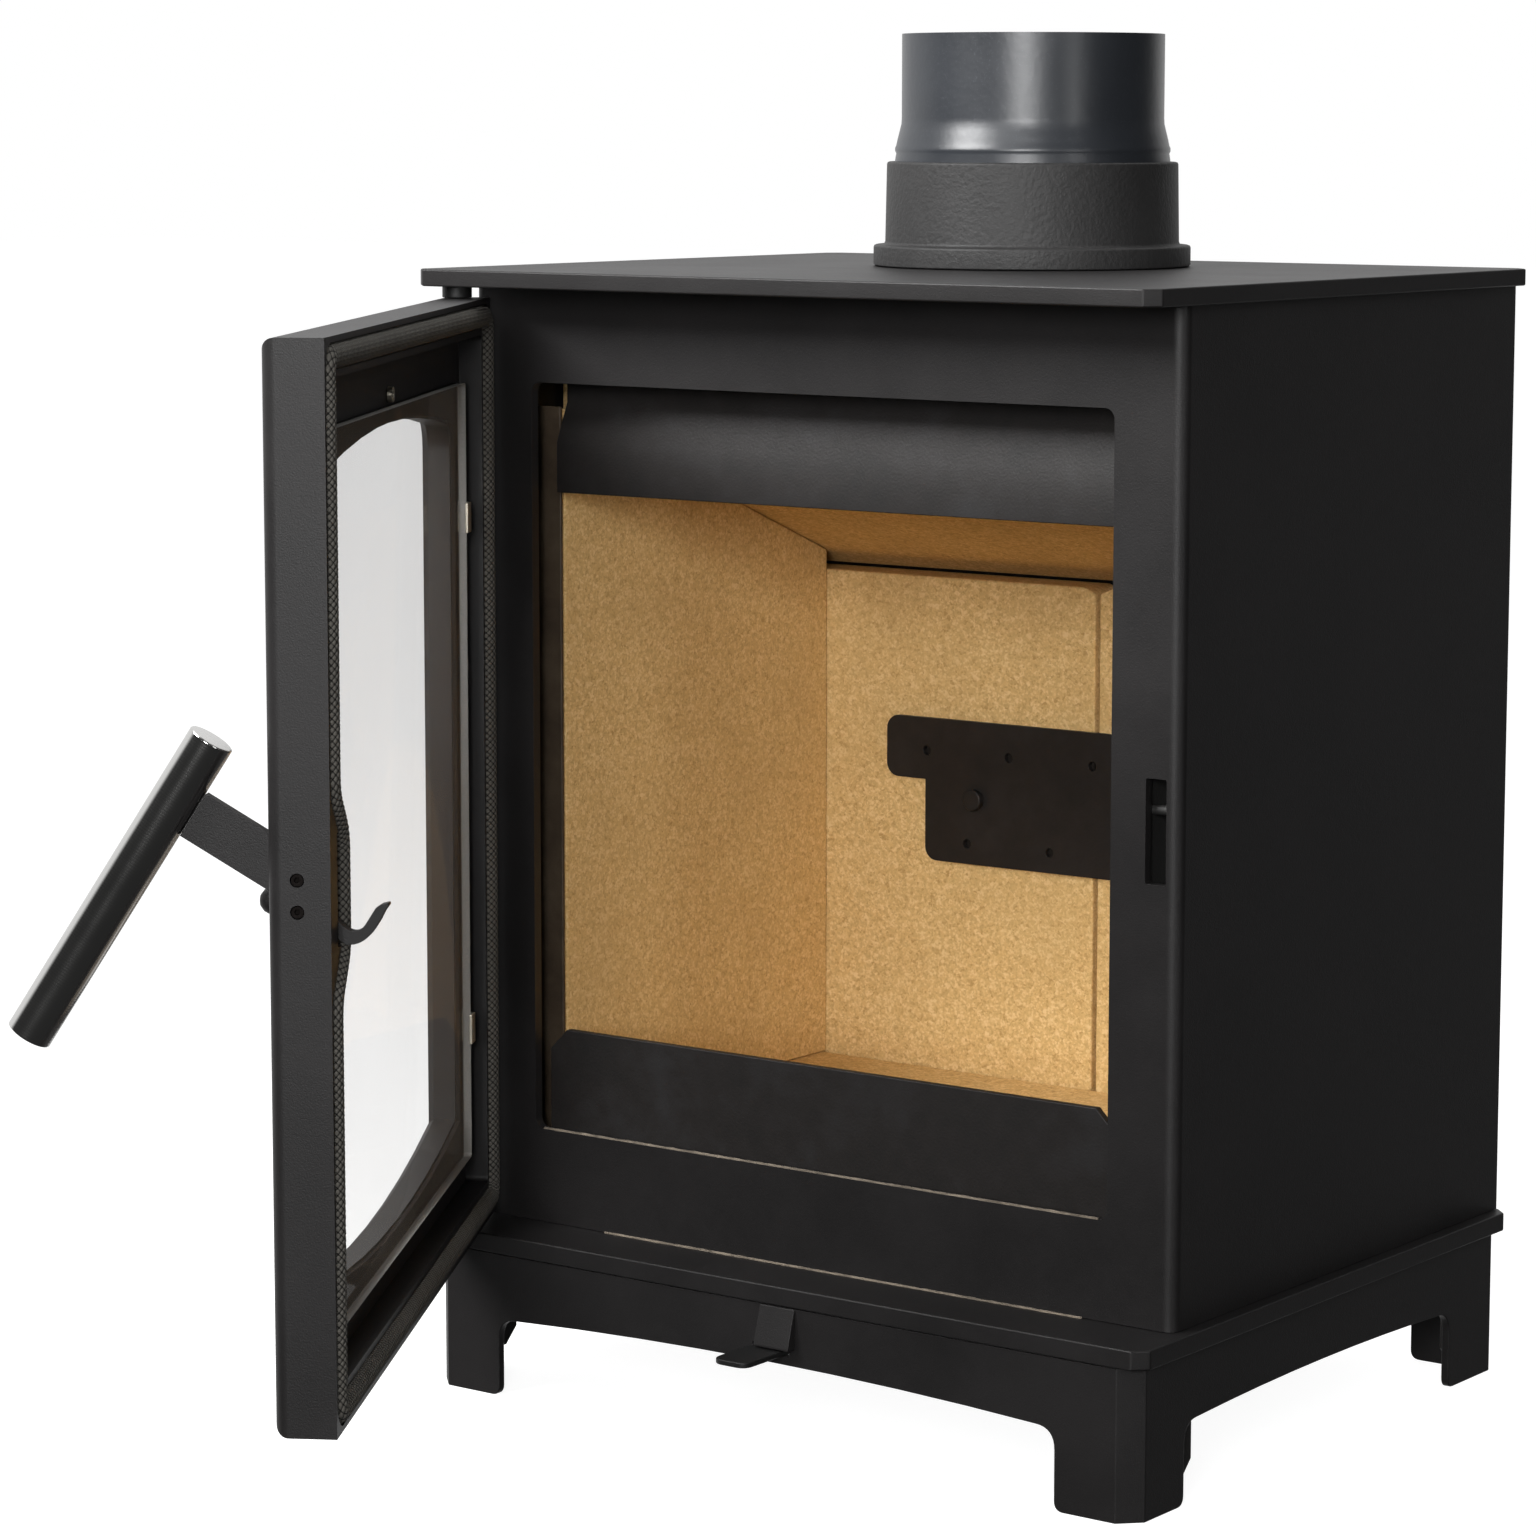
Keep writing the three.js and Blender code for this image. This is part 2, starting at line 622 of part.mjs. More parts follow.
function hearthBrick() {
  const bottom = BODY_Z;
  return block(-BRICK_OUTER, BRICK_OUTER, BRICK_FRONT, BACK_FACE - GAP, bottom, HEARTH_TOP);
}

function sideBrick(side) {
  const front = BRICK_FRONT;
  const rear = BACK_FACE - GAP;
  const bottom = HEARTH_TOP + GAP;
  const shape = outline([
    [front, bottom],
    [rear, bottom],
    [rear, baffleUnderside(rear) - GAP],
    [front, baffleUnderside(front) - GAP],
  ]);
  const brick = span(shape, BRICK_INNER, BRICK_OUTER);
  const edge = outline([
    [BRICK_INNER - 1, front - 1],
    [BRICK_INNER + BRICK_CHAMFER + 1, front - 1],
    [BRICK_INNER - 1, front + BRICK_CHAMFER + 1],
  ]);
  const made = cut(brick, raise(edge, bottom - 1, TOP_Z));
  return side < 0 ? made.mirror([1, 0, 0]) : made;
}

function brickRetainer(side) {
  const left = BRICK_INNER - RETAINER_LAP;
  const rear = BRICK_FRONT - GAP;
  const front = rear - RETAINER_SHEET;
  const right = BODY_INNER - GAP;
  const strip = block(left, right, front, rear, BODY_Z, baffleUnderside(BRICK_FRONT) - GAP);
  return side < 0 ? strip.mirror([1, 0, 0]) : strip;
}

function backBrick(side) {
  const seam = 1.2;
  const chamfer = 7;
  const shape = outline([
    [seam, BODY_Z],
    [BRICK_OUTER, BODY_Z],
    [BRICK_OUTER, BACK_BRICK_TOP],
    [seam + chamfer, BACK_BRICK_TOP],
    [seam, BACK_BRICK_TOP - BRICK_CHAMFER],
  ]);
  const made = carry(shape, BACK_FACE, BACK_FACE + BRICK);
  return side < 0 ? made.mirror([1, 0, 0]) : made;
}

function baffle() {
  const rear = BACK_FACE + BRICK - 1;
  const rise = BRICK / Math.cos(THREE.MathUtils.degToRad(BAFFLE_ANGLE));
  const shape = outline([
    [BAFFLE_FRONT, baffleUnderside(BAFFLE_FRONT)],
    [rear, baffleUnderside(rear)],
    [rear, baffleUnderside(rear) + rise],
    [BAFFLE_FRONT, baffleUnderside(BAFFLE_FRONT) + rise],
  ]);
  return span(shape, -BRICK_OUTER, BRICK_OUTER);
}

function airPlate() {
  const back = BACK_FACE - GAP;
  const front = back - AIR_PLATE_SHEET;
  const bottom = AIR_PLATE_BOTTOM;
  const shelf = bottom + STEM_HEIGHT;
  const top = shelf + BAND_HEIGHT;
  const round = AIR_PLATE_CORNER;
  const stem = roundedBox(-STEM_WIDTH / 2, STEM_WIDTH / 2, bottom, top, round);
  const band = roundedBox(-BAND_WIDTH / 2, BAND_WIDTH / 2, shelf, top, round);
  const drill = alongY(rod(AIR_HOLE / 2, -10, 10, 10));
  const drills = [];
  for (let i = 0; i < AIR_HOLES_TOP; i++) {
    const x = (i - (AIR_HOLES_TOP - 1) / 2) * AIR_HOLE_PITCH;
    drills.push(at(drill, x, back, shelf + BAND_HEIGHT / 2 - 1));
  }
  for (let i = 0; i < AIR_HOLES_LOW; i++) {
    const x = (i - (AIR_HOLES_LOW - 1) / 2) * AIR_HOLE_PITCH;
    drills.push(at(drill, x, back, bottom + STEM_HEIGHT / 4));
  }
  return cut(join(carry(stem, front, back), carry(band, front, back)), ...drills);
}

function airPlateBolt(side) {
  const face = BACK_FACE - AIR_PLATE_SHEET - 2 * GAP;
  const head = alongY(rod(AIR_BOLT_RADIUS, 0, 4, 16));
  const height = AIR_PLATE_BOTTOM + STEM_HEIGHT - 8;
  return at(head, (side * AIR_BOLT_SPACING) / 2, face - 4, height);
}

function airWash() {
  const front = WASH_Y;
  const back = WASH_Y + WASH_SHEET;
  const shape = outline([
    [front, WASH_LIP_BOTTOM],
    [back, WASH_LIP_BOTTOM],
    [back, WASH_BEND - 0.5],
    [back + WASH_LEAN, WASH_TOP],
    [back + WASH_LEAN, WASH_FLANGE],
    [front + WASH_LEAN, WASH_FLANGE],
    [front + WASH_LEAN, WASH_TOP],
    [front, WASH_BEND],
  ]);
  return span(shape, -WASH_WIDTH / 2, WASH_WIDTH / 2);
}

function logFence() {
  const half = FENCE_WIDTH / 2;
  const shape = outline([
    [-half, FENCE_BOTTOM],
    [half, FENCE_BOTTOM],
    [half, FENCE_TOP - FENCE_CHAMFER],
    [half - FENCE_CHAMFER, FENCE_TOP],
    [-half + FENCE_CHAMFER, FENCE_TOP],
    [-half, FENCE_TOP - FENCE_CHAMFER],
  ]);
  return carry(shape, FENCE_Y, FENCE_Y + FENCE_SHEET);
}

// Cross pin for the hook, with an ear on its left and a plate behind.
function latchKeeper() {
  const left = SLOT_X - SLOT_WIDTH / 2 - 1;
  const right = BODY_INNER - GAP;
  const front = BODY_SHEET + GAP;
  const low = SLOT_CENTRE_Z - KEEPER_HEIGHT / 2;
  const high = SLOT_CENTRE_Z + KEEPER_HEIGHT / 2;
  const edge = left - KEEPER_SHEET;
  const pin = at(alongX(rod(KEEPER_RADIUS, left - 1, right, 16)), 0, KEEPER_Y, KEEPER_Z);
  const ear = block(edge, left, front, KEEPER_BACK, low, high);
  const back = block(edge, right, KEEPER_BACK - KEEPER_SHEET, KEEPER_BACK, low, high);
  return join(pin, ear, back);
}

// Pin that stands on a plate and carries the door; up is +1 for the lower pin, -1 for the upper.
function hingePin(up) {
  const seat = up > 0 ? BODY_Z : TOP_Z - GAP;
  const doorEnd = up > 0 ? DOOR_BOTTOM : DOOR_TOP;
  const shoulder = doorEnd - up * GAP;
  const tip = doorEnd + up * HINGE_REACH;
  const collar = rod(HINGE_SHOULDER_RADIUS, Math.min(seat, shoulder), Math.max(seat, shoulder));
  const pin = rod(HINGE_PIN_RADIUS, Math.min(seat, tip), Math.max(seat, tip));
  return at(join(collar, pin), HINGE_X, HINGE_Y, 0);
}

// ---------- door ----------
function windowOutline(grow) {
  const half = WINDOW_WIDTH / 2 + grow;
  const top = WINDOW_TOP + grow;
  const bottom = WINDOW_BOTTOM - grow;
  const shoulder = top - WINDOW_BULGE;
  const foot = bottom + WINDOW_BULGE;
  const shape = new THREE.Shape();
  shape.moveTo(-half, foot);
  shape.quadraticCurveTo(0, 2 * bottom - foot, half, foot);
  shape.lineTo(half, shoulder - WINDOW_CORNER);
  shape.quadraticCurveTo(half, shoulder, half - WINDOW_CORNER, shoulder + 1.6);
  shape.quadraticCurveTo(0, 2 * top - shoulder - 1.6, WINDOW_CORNER - half, shoulder + 1.6);
  shape.quadraticCurveTo(-half, shoulder, -half, shoulder - WINDOW_CORNER);
  return shape;
}

// Cutter that widens the window towards the outer face of the door.
function windowBevel() {
  const size = WINDOW_BEVEL;
  const geometry = new THREE.ExtrudeGeometry(windowOutline(0), {
    depth: size,
    bevelEnabled: true,
    bevelThickness: size,
    bevelSize: size,
    bevelSegments: 1,
    curveSegments: 8,
  });
  geometry.rotateX(Math.PI / 2);
  geometry.translate(0, DOOR_OUTER, 0);
  return toSolid(geometry);
}

function doorBlank() {
  const half = DOOR_WIDTH / 2;
  const round = DOOR_ROUND;
  const plan = new THREE.Shape();
  plan.moveTo(half, DOOR_INNER);
  plan.lineTo(-half, DOOR_INNER);
  plan.lineTo(-half, DOOR_OUTER + round);
  plan.absarc(-half + round, DOOR_OUTER + round, round, Math.PI, 1.5 * Math.PI, false);
  plan.lineTo(half - round, DOOR_OUTER);
  plan.absarc(half - round, DOOR_OUTER + round, round, 1.5 * Math.PI, 2 * Math.PI, false);
  const side = new THREE.Shape();
  side.moveTo(DOOR_INNER, DOOR_TOP);
  side.lineTo(DOOR_OUTER + round, DOOR_TOP);
  side.absarc(DOOR_OUTER + round, DOOR_TOP - round, round, Math.PI / 2, Math.PI, false);
  side.lineTo(DOOR_OUTER, DOOR_BOTTOM + round);
  side.absarc(DOOR_OUTER + round, DOOR_BOTTOM + round, round, Math.PI, 1.5 * Math.PI, false);
  side.lineTo(DOOR_INNER, DOOR_BOTTOM);
  return raise(plan, DOOR_BOTTOM, DOOR_TOP).intersect(span(side, -half, half));
}

// Box set in from the door's edge, with the dent for the lever slot in its right hand side.
function insetBox(inset, radius, y0, y1) {
  const half = DOOR_WIDTH / 2 - inset;
  const mitre = inset * Math.tan(Math.PI / 8);
  const low = PIVOT_Z - DETOUR_BELOW - mitre;
  const high = PIVOT_Z + DETOUR_ABOVE + mitre;
  const dent = [
    [half, low],
    [half - DETOUR, low + DETOUR],
    [half - DETOUR, high - DETOUR],
    [half, high],
  ];
  const bottom = DOOR_BOTTOM + inset;
  return carry(roundedBox(-half, half, bottom, DOOR_TOP - inset, radius, dent), y0, y1);
}

function doorCasting() {
  const past = DOOR_INNER + 1;
  const groove = cut(
    insetBox(RIM, ROPE_WIDTH, GROOVE_FLOOR, past),
    insetBox(RIM + GROOVE_WIDTH, 3, GROOVE_FLOOR - 1, past + 1),
  );
  const recess = insetBox(RECESS_INSET, 3, PANEL_FACE, past);
  const wallTop = insetBox(RIM + GROOVE_WIDTH - 1, 3, DOOR_INNER - WALL_DROP, past);
  const bore = HINGE_PIN_RADIUS + HINGE_CLEARANCE;
  const low = rod(bore, DOOR_BOTTOM - 1, DOOR_BOTTOM + HINGE_REACH + 1);
  const high = rod(bore, DOOR_TOP - HINGE_REACH - 1, DOOR_TOP + 1);
  const leverSlot = block(
    SLOT_LEFT,
    SLOT_RIGHT,
    DOOR_OUTER - 1,
    past,
    PIVOT_Z - LEVER_SLOT_BELOW,
    PIVOT_Z + LEVER_SLOT_ABOVE,
  );
  const pinBore = alongX(
    rod(PIVOT_RADIUS + GAP, SLOT_LEFT - PIN_SEAT - GAP, SLOT_RIGHT + PIN_END + GAP),
  );
  const pocket = alongX(rod(EDGE_SCREW_RADIUS + GAP, -3, 3, 16));
  const edge = DOOR_WIDTH / 2;
  return cut(
    doorBlank(),
    carry(windowOutline(0), DOOR_OUTER - 1, PANEL_FACE + 1),
    windowBevel(),
    groove,
    recess,
    wallTop,
    at(low, HINGE_X, HINGE_Y, 0),
    at(high, HINGE_X, HINGE_Y, 0),
    leverSlot,
    at(pinBore, 0, PIVOT_Y, PIVOT_Z),
    at(pocket, edge, PIVOT_Y, EDGE_SCREW_Z + EDGE_SCREW_SPACING / 2),
    at(pocket, edge, PIVOT_Y, EDGE_SCREW_Z - EDGE_SCREW_SPACING / 2),
  );
}

function glassSheet(grow, y0, y1) {
  const half = GLASS_WIDTH / 2 + grow;
  return carry(roundedBox(-half, half, GLASS_BOTTOM - grow, GLASS_TOP + grow, 2), y0, y1);
}

function glassGasket() {
  const y = PANEL_FACE + GAP;
  const inner = carry(windowOutline(1), y - 1, y + GASKET_THICKNESS + 1);
  return cut(glassSheet(0, y, y + GASKET_THICKNESS), inner);
}

// Bent clip over the edge of the glass; side and up are +1 or -1.
function glassClip(side, up) {
  const inner = GLASS_WIDTH / 2 - CLIP_LAP;
  const riser = GLASS_WIDTH / 2 + GAP;
  const outer = riser + CLIP_FOOT;
  const foot = PANEL_FACE + GAP;
  const top = GLASS_BACK + GAP;
  const shape = outline([
    [riser, foot],
    [outer, foot],
    [outer, foot + CLIP_SHEET],
    [riser + CLIP_SHEET, foot + CLIP_SHEET],
    [riser + CLIP_SHEET, top + CLIP_SHEET],
    [inner, top + CLIP_SHEET],
    [inner, top],
    [riser, top],
  ]);
  const middle = (GLASS_BOTTOM + GLASS_TOP) / 2 + up * CLIP_Z;
  const made = raise(shape, middle - CLIP_HEIGHT / 2, middle + CLIP_HEIGHT / 2);
  return side < 0 ? made.mirror([1, 0, 0]) : made;
}

function doorRope() {
  const back = GROOVE_FLOOR + GAP;
  const front = DOOR_INNER + ROPE_PROUD;
  const inset = RIM + ROPE_CLEARANCE;
  const soft = 2.6;
  const lower = cut(
    insetBox(inset, ROPE_WIDTH - ROPE_CLEARANCE, back, front - soft),
    insetBox(inset + ROPE_WIDTH, 3 + ROPE_CLEARANCE, back - 1, front),
  );
  const upper = cut(
    insetBox(inset + soft, ROPE_WIDTH - soft, back + 1, front),
    insetBox(inset + ROPE_WIDTH - soft, 3 + soft, back, front + 1),
  );
  return join(lower, upper);
}

function edgeScrew(up) {
  const screw = alongX(rod(EDGE_SCREW_RADIUS, -2.6, -GAP, 16));
  const socket = alongX(rod(EDGE_SCREW_RADIUS / 2, -1.8, 1, 6));
  const z = EDGE_SCREW_Z + (up * EDGE_SCREW_SPACING) / 2;
  return at(cut(screw, socket), DOOR_WIDTH / 2, PIVOT_Y, z);
}

function domeBolt() {
  const dome = turn(
    [
      [0, 0],
      [DOME_RADIUS, 0],
      [DOME_RADIUS, DOME_HEIGHT * 0.3],
      [DOME_RADIUS * 0.94, DOME_HEIGHT * 0.52],
      [DOME_RADIUS * 0.77, DOME_HEIGHT * 0.75],
      [DOME_RADIUS * 0.42, DOME_HEIGHT * 0.94],
      [0, DOME_HEIGHT],
    ],
    20,
  ).rotate([90, 0, 0]);
  return at(dome, DOME_X, DOOR_OUTER - GAP, PIVOT_Z - DOME_DROP);
}

function panelScrew(z) {
  return at(alongY(rod(SCREW_RADIUS, 0, 2.4, 16)), 0, PANEL_FACE + GAP, z);
}

// ---------- handle, drawn latched ----------
function latchLever() {
  const y = PIVOT_Y;
  const z = PIVOT_Z;
  const end = y - ARM_REACH + BAR_RADIUS + GAP;
  const high = z + ARM_MIDDLE + ARM_HEIGHT / 2;
  const low = z + ARM_MIDDLE - ARM_HEIGHT / 2;
  const back = y + HOOK_REACH;
  const inner = back - HOOK_THICKNESS;
  const tip = z + HOOK_RISE;
  const shape = new THREE.Shape();
  shape.moveTo(end, low);
  shape.lineTo(y, low + ARM_RISE);
  shape.lineTo(y + 14, low + ARM_RISE - 0.6);
  shape.lineTo(back - 6.4, z - 9.6);
  shape.quadraticCurveTo(back - 0.2, z - 6.4, back, z + 1.7);
  shape.lineTo(back, z + 6.3);
  shape.lineTo(back - 0.4, tip - 3.8);
  shape.lineTo(back - 0.2, tip - 0.7);
  shape.lineTo(back - 1, tip);
  shape.lineTo(inner + 1.1, tip - 2.1);
  shape.lineTo(inner, tip - 4.5);
  shape.lineTo(inner, z + 1.5);
  shape.quadraticCurveTo(inner - 0.4, z - 3.9, inner - 4.8, z - 4);
  shape.quadraticCurveTo(y + 13, z - 4, y + 11.5, z + 4);
  shape.quadraticCurveTo(y + 9, high + ARM_RISE, y, high + ARM_RISE);
  shape.lineTo(end, high);
  const bore = alongX(rod(PIVOT_RADIUS + PIVOT_CLEARANCE, LEVER_LEFT - 1, LEVER_RIGHT + 1));
  return cut(span(shape, LEVER_LEFT, LEVER_RIGHT), at(bore, 0, PIVOT_Y, PIVOT_Z));
}

function handleBar() {
  const top = PIVOT_Z + BAR_ABOVE;
  const bottom = top - BAR_LENGTH;
  const edge = 0.8;
  const bar = turn(
    [
      [0, bottom],
      [BAR_RADIUS - edge, bottom],
      [BAR_RADIUS, bottom + edge],
      [BAR_RADIUS, top - edge],
      [BAR_RADIUS - edge, top],
      [0, top],
    ],
    32,
  );
  return at(bar, LEVER_X, PIVOT_Y - ARM_REACH, 0);
}

function pivotPin() {
  const pin = alongX(rod(PIVOT_RADIUS, SLOT_LEFT - PIN_SEAT, SLOT_RIGHT + PIN_END));
  return at(pin, 0, PIVOT_Y, PIVOT_Z);
}

// ---------- assembly ----------
place("plinth_skirt", plinth(), STOVE_PAINT);
for (const [right, sideName] of [
  [-1, "left"],
  [1, "right"],
]) {
  place(`leg_bracket_front_${sideName}`, legBracket(right, -1), SOOTY_STEEL);
  place(`leg_bracket_rear_${sideName}`, legBracket(right, 1), SOOTY_STEEL);
  place(`side_brick_${sideName}`, sideBrick(right), VERMICULITE);
  place(`back_brick_${sideName}`, backBrick(right), VERMICULITE);
  place(`brick_retainer_${sideName}`, brickRetainer(right), SOOTY_STEEL);
  place(`air_plate_bolt_${sideName}`, airPlateBolt(right), SOOTY_STEEL);
  place(`glass_clip_upper_${sideName}`, glassClip(right, 1), ZINC, doorFrame);
  place(`glass_clip_lower_${sideName}`, glassClip(right, -1), ZINC, doorFrame);
}
place("base_plate", basePlate(), STOVE_PAINT);
place("body_shell", bodyShell(), STOVE_PAINT);
place("rear_plate", rearPlate(), STOVE_PAINT);
place("top_plate", topPlate(), STOVE_PAINT);
place("flue_collar", flueCollar(), CAST_IRON);
place("flue_pipe", fluePipe(), ENAMEL);
place("hearth_brick", hearthBrick(), VERMICULITE);
place("baffle_brick", baffle(), VERMICULITE);
place("secondary_air_plate", airPlate(), SOOTY_STEEL);
place("air_wash_deflector", airWash(), SOOTY_STEEL);
place("log_fence", logFence(), SOOTY_STEEL);
place("latch_keeper", latchKeeper(), SOOTY_STEEL);
place("hinge_pin_lower", hingePin(1), ZINC);
place("hinge_pin_upper", hingePin(-1), ZINC);
place("air_lever_hood", airHood(), STOVE_PAINT);
place("air_lever", airLever(), SOOTY_STEEL);
place("door_casting", doorCasting(), STOVE_PAINT, doorFrame);
place("door_glass", glassSheet(0, GLASS_FACE, GLASS_BACK), CERAMIC_GLASS, doorFrame);
place("glass_gasket", glassGasket(), ROPE, doorFrame);
place("door_rope", doorRope(), ROPE, doorFrame);
place("edge_screw_upper", edgeScrew(1), SOOTY_STEEL, doorFrame);
place("edge_screw_lower", edgeScrew(-1), SOOTY_STEEL, doorFrame);
place("latch_dome_bolt", domeBolt(), STOVE_PAINT, doorFrame);
place("door_screw_top", panelScrew(GLASS_TOP + SCREW_RADIUS + 1), ZINC, doorFrame);
place("handle_pivot_pin", pivotPin(), ZINC, doorFrame);
place("latch_lever", latchLever(), SOOTY_STEEL, handleFrame);
place("handle_bar", handleBar(), STAINLESS, handleFrame);

// The origin is under the middle of the whole box, with the door as it stands open.
const middle = new THREE.Box3().setFromObject(group, true).getCenter(new THREE.Vector3());
stove.position.set(-middle.x, -middle.y, 0);

export default group;
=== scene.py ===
"""Looks for a small wood burning stove whose glazed door stands part open.

Metres, +Z up, the door opening faces -Y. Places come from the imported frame; the sizes written here are
those of the details that only the looks have.
"""

from __future__ import annotations

import json
import logging
import math
from dataclasses import dataclass
from enum import Enum
from typing import Any, Callable, Iterable, Optional, Sequence, Union

import bpy
from mathutils import Matrix, Quaternion, Vector

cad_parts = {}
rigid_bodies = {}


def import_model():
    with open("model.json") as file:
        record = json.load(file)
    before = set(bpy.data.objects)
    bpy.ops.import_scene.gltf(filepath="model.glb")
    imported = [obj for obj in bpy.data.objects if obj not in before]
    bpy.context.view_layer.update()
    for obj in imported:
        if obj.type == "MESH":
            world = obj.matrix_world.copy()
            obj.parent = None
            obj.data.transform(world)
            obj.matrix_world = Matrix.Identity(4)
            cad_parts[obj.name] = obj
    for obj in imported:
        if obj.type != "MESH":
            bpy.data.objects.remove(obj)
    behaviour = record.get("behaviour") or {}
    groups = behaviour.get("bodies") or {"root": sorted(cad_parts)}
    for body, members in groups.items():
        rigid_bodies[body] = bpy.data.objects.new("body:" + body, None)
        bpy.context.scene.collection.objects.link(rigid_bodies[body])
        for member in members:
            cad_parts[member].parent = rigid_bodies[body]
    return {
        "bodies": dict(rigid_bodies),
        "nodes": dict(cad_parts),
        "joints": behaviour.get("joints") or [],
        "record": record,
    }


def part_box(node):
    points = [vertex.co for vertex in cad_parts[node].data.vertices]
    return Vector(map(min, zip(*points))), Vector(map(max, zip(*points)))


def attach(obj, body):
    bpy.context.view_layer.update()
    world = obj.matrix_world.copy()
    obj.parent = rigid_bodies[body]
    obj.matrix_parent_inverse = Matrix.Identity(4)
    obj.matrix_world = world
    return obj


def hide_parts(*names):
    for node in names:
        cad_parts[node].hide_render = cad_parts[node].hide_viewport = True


log = logging.getLogger("wood_burning_stove")

Colour = tuple[float, float, float]
Value = Union["Wire", float, int, Sequence[float]]
MM = 0.001


class Body(Enum):
    """The bodies that move on their own."""

    STOVE = "stove"
    DOOR = "door"
    HANDLE = "handle"
    AIR_CONTROL = "air_control"


class Slot(Enum):
    """The record's material slots."""

    STOVE_PAINT = "stove_paint"
    BLACK_STEEL = "black_steel"
    FIRE_BRICK = "fire_brick"
    PLATED_STEEL = "plated_steel"
    CAST_IRON = "cast_iron"
    ENAMEL = "enamel"
    ROPE = "rope"
    STOVE_GLASS = "stove_glass"
    STAINLESS = "stainless"


# ---------------------------------------------------------------- shader sheets


class Wire:
    """An output socket on which Python's operators add Math nodes."""

    def __init__(self, sheet: "ShaderSheet", socket: bpy.types.NodeSocket) -> None:
        """Wraps one output socket of a sheet."""
        self.sheet = sheet
        self.socket = socket

    def _math(self, operation: str, first: Value, second: Value = 0.0) -> "Wire":
        """Adds one Math node and returns its result."""
        node = self.sheet.add("ShaderNodeMath", {"operation": operation}, {0: first, 1: second})
        return Wire(self.sheet, node.outputs[0])

    def __add__(self, other: Value) -> "Wire":
        """Sum."""
        return self._math("ADD", self, other)

    def __radd__(self, other: Value) -> "Wire":
        """Sum, with the plain number first."""
        return self._math("ADD", other, self)

    def __sub__(self, other: Value) -> "Wire":
        """Difference."""
        return self._math("SUBTRACT", self, other)

    def __rsub__(self, other: Value) -> "Wire":
        """Difference, with the plain number first."""
        return self._math("SUBTRACT", other, self)

    def __mul__(self, other: Value) -> "Wire":
        """Product."""
        return self._math("MULTIPLY", self, other)

    def __pow__(self, other: Value) -> "Wire":
        """Power."""
        return self._math("POWER", self, other)

    def sine(self) -> "Wire":
        """Sine of an angle in radians."""
        return self._math("SINE", self)

    def absolute(self) -> "Wire":
        """Size without its sign."""
        return self._math("ABSOLUTE", self)

    def step(self, low: float, high: float) -> "Wire":
        """Goes smoothly from 0 at low to 1 at high."""
        node = self.sheet.add(
            "ShaderNodeMapRange",
            {"interpolation_type": "SMOOTHSTEP"},
            {"Value": self, "From Min": low, "From Max": high},
        )
        return Wire(self.sheet, node.outputs[0])


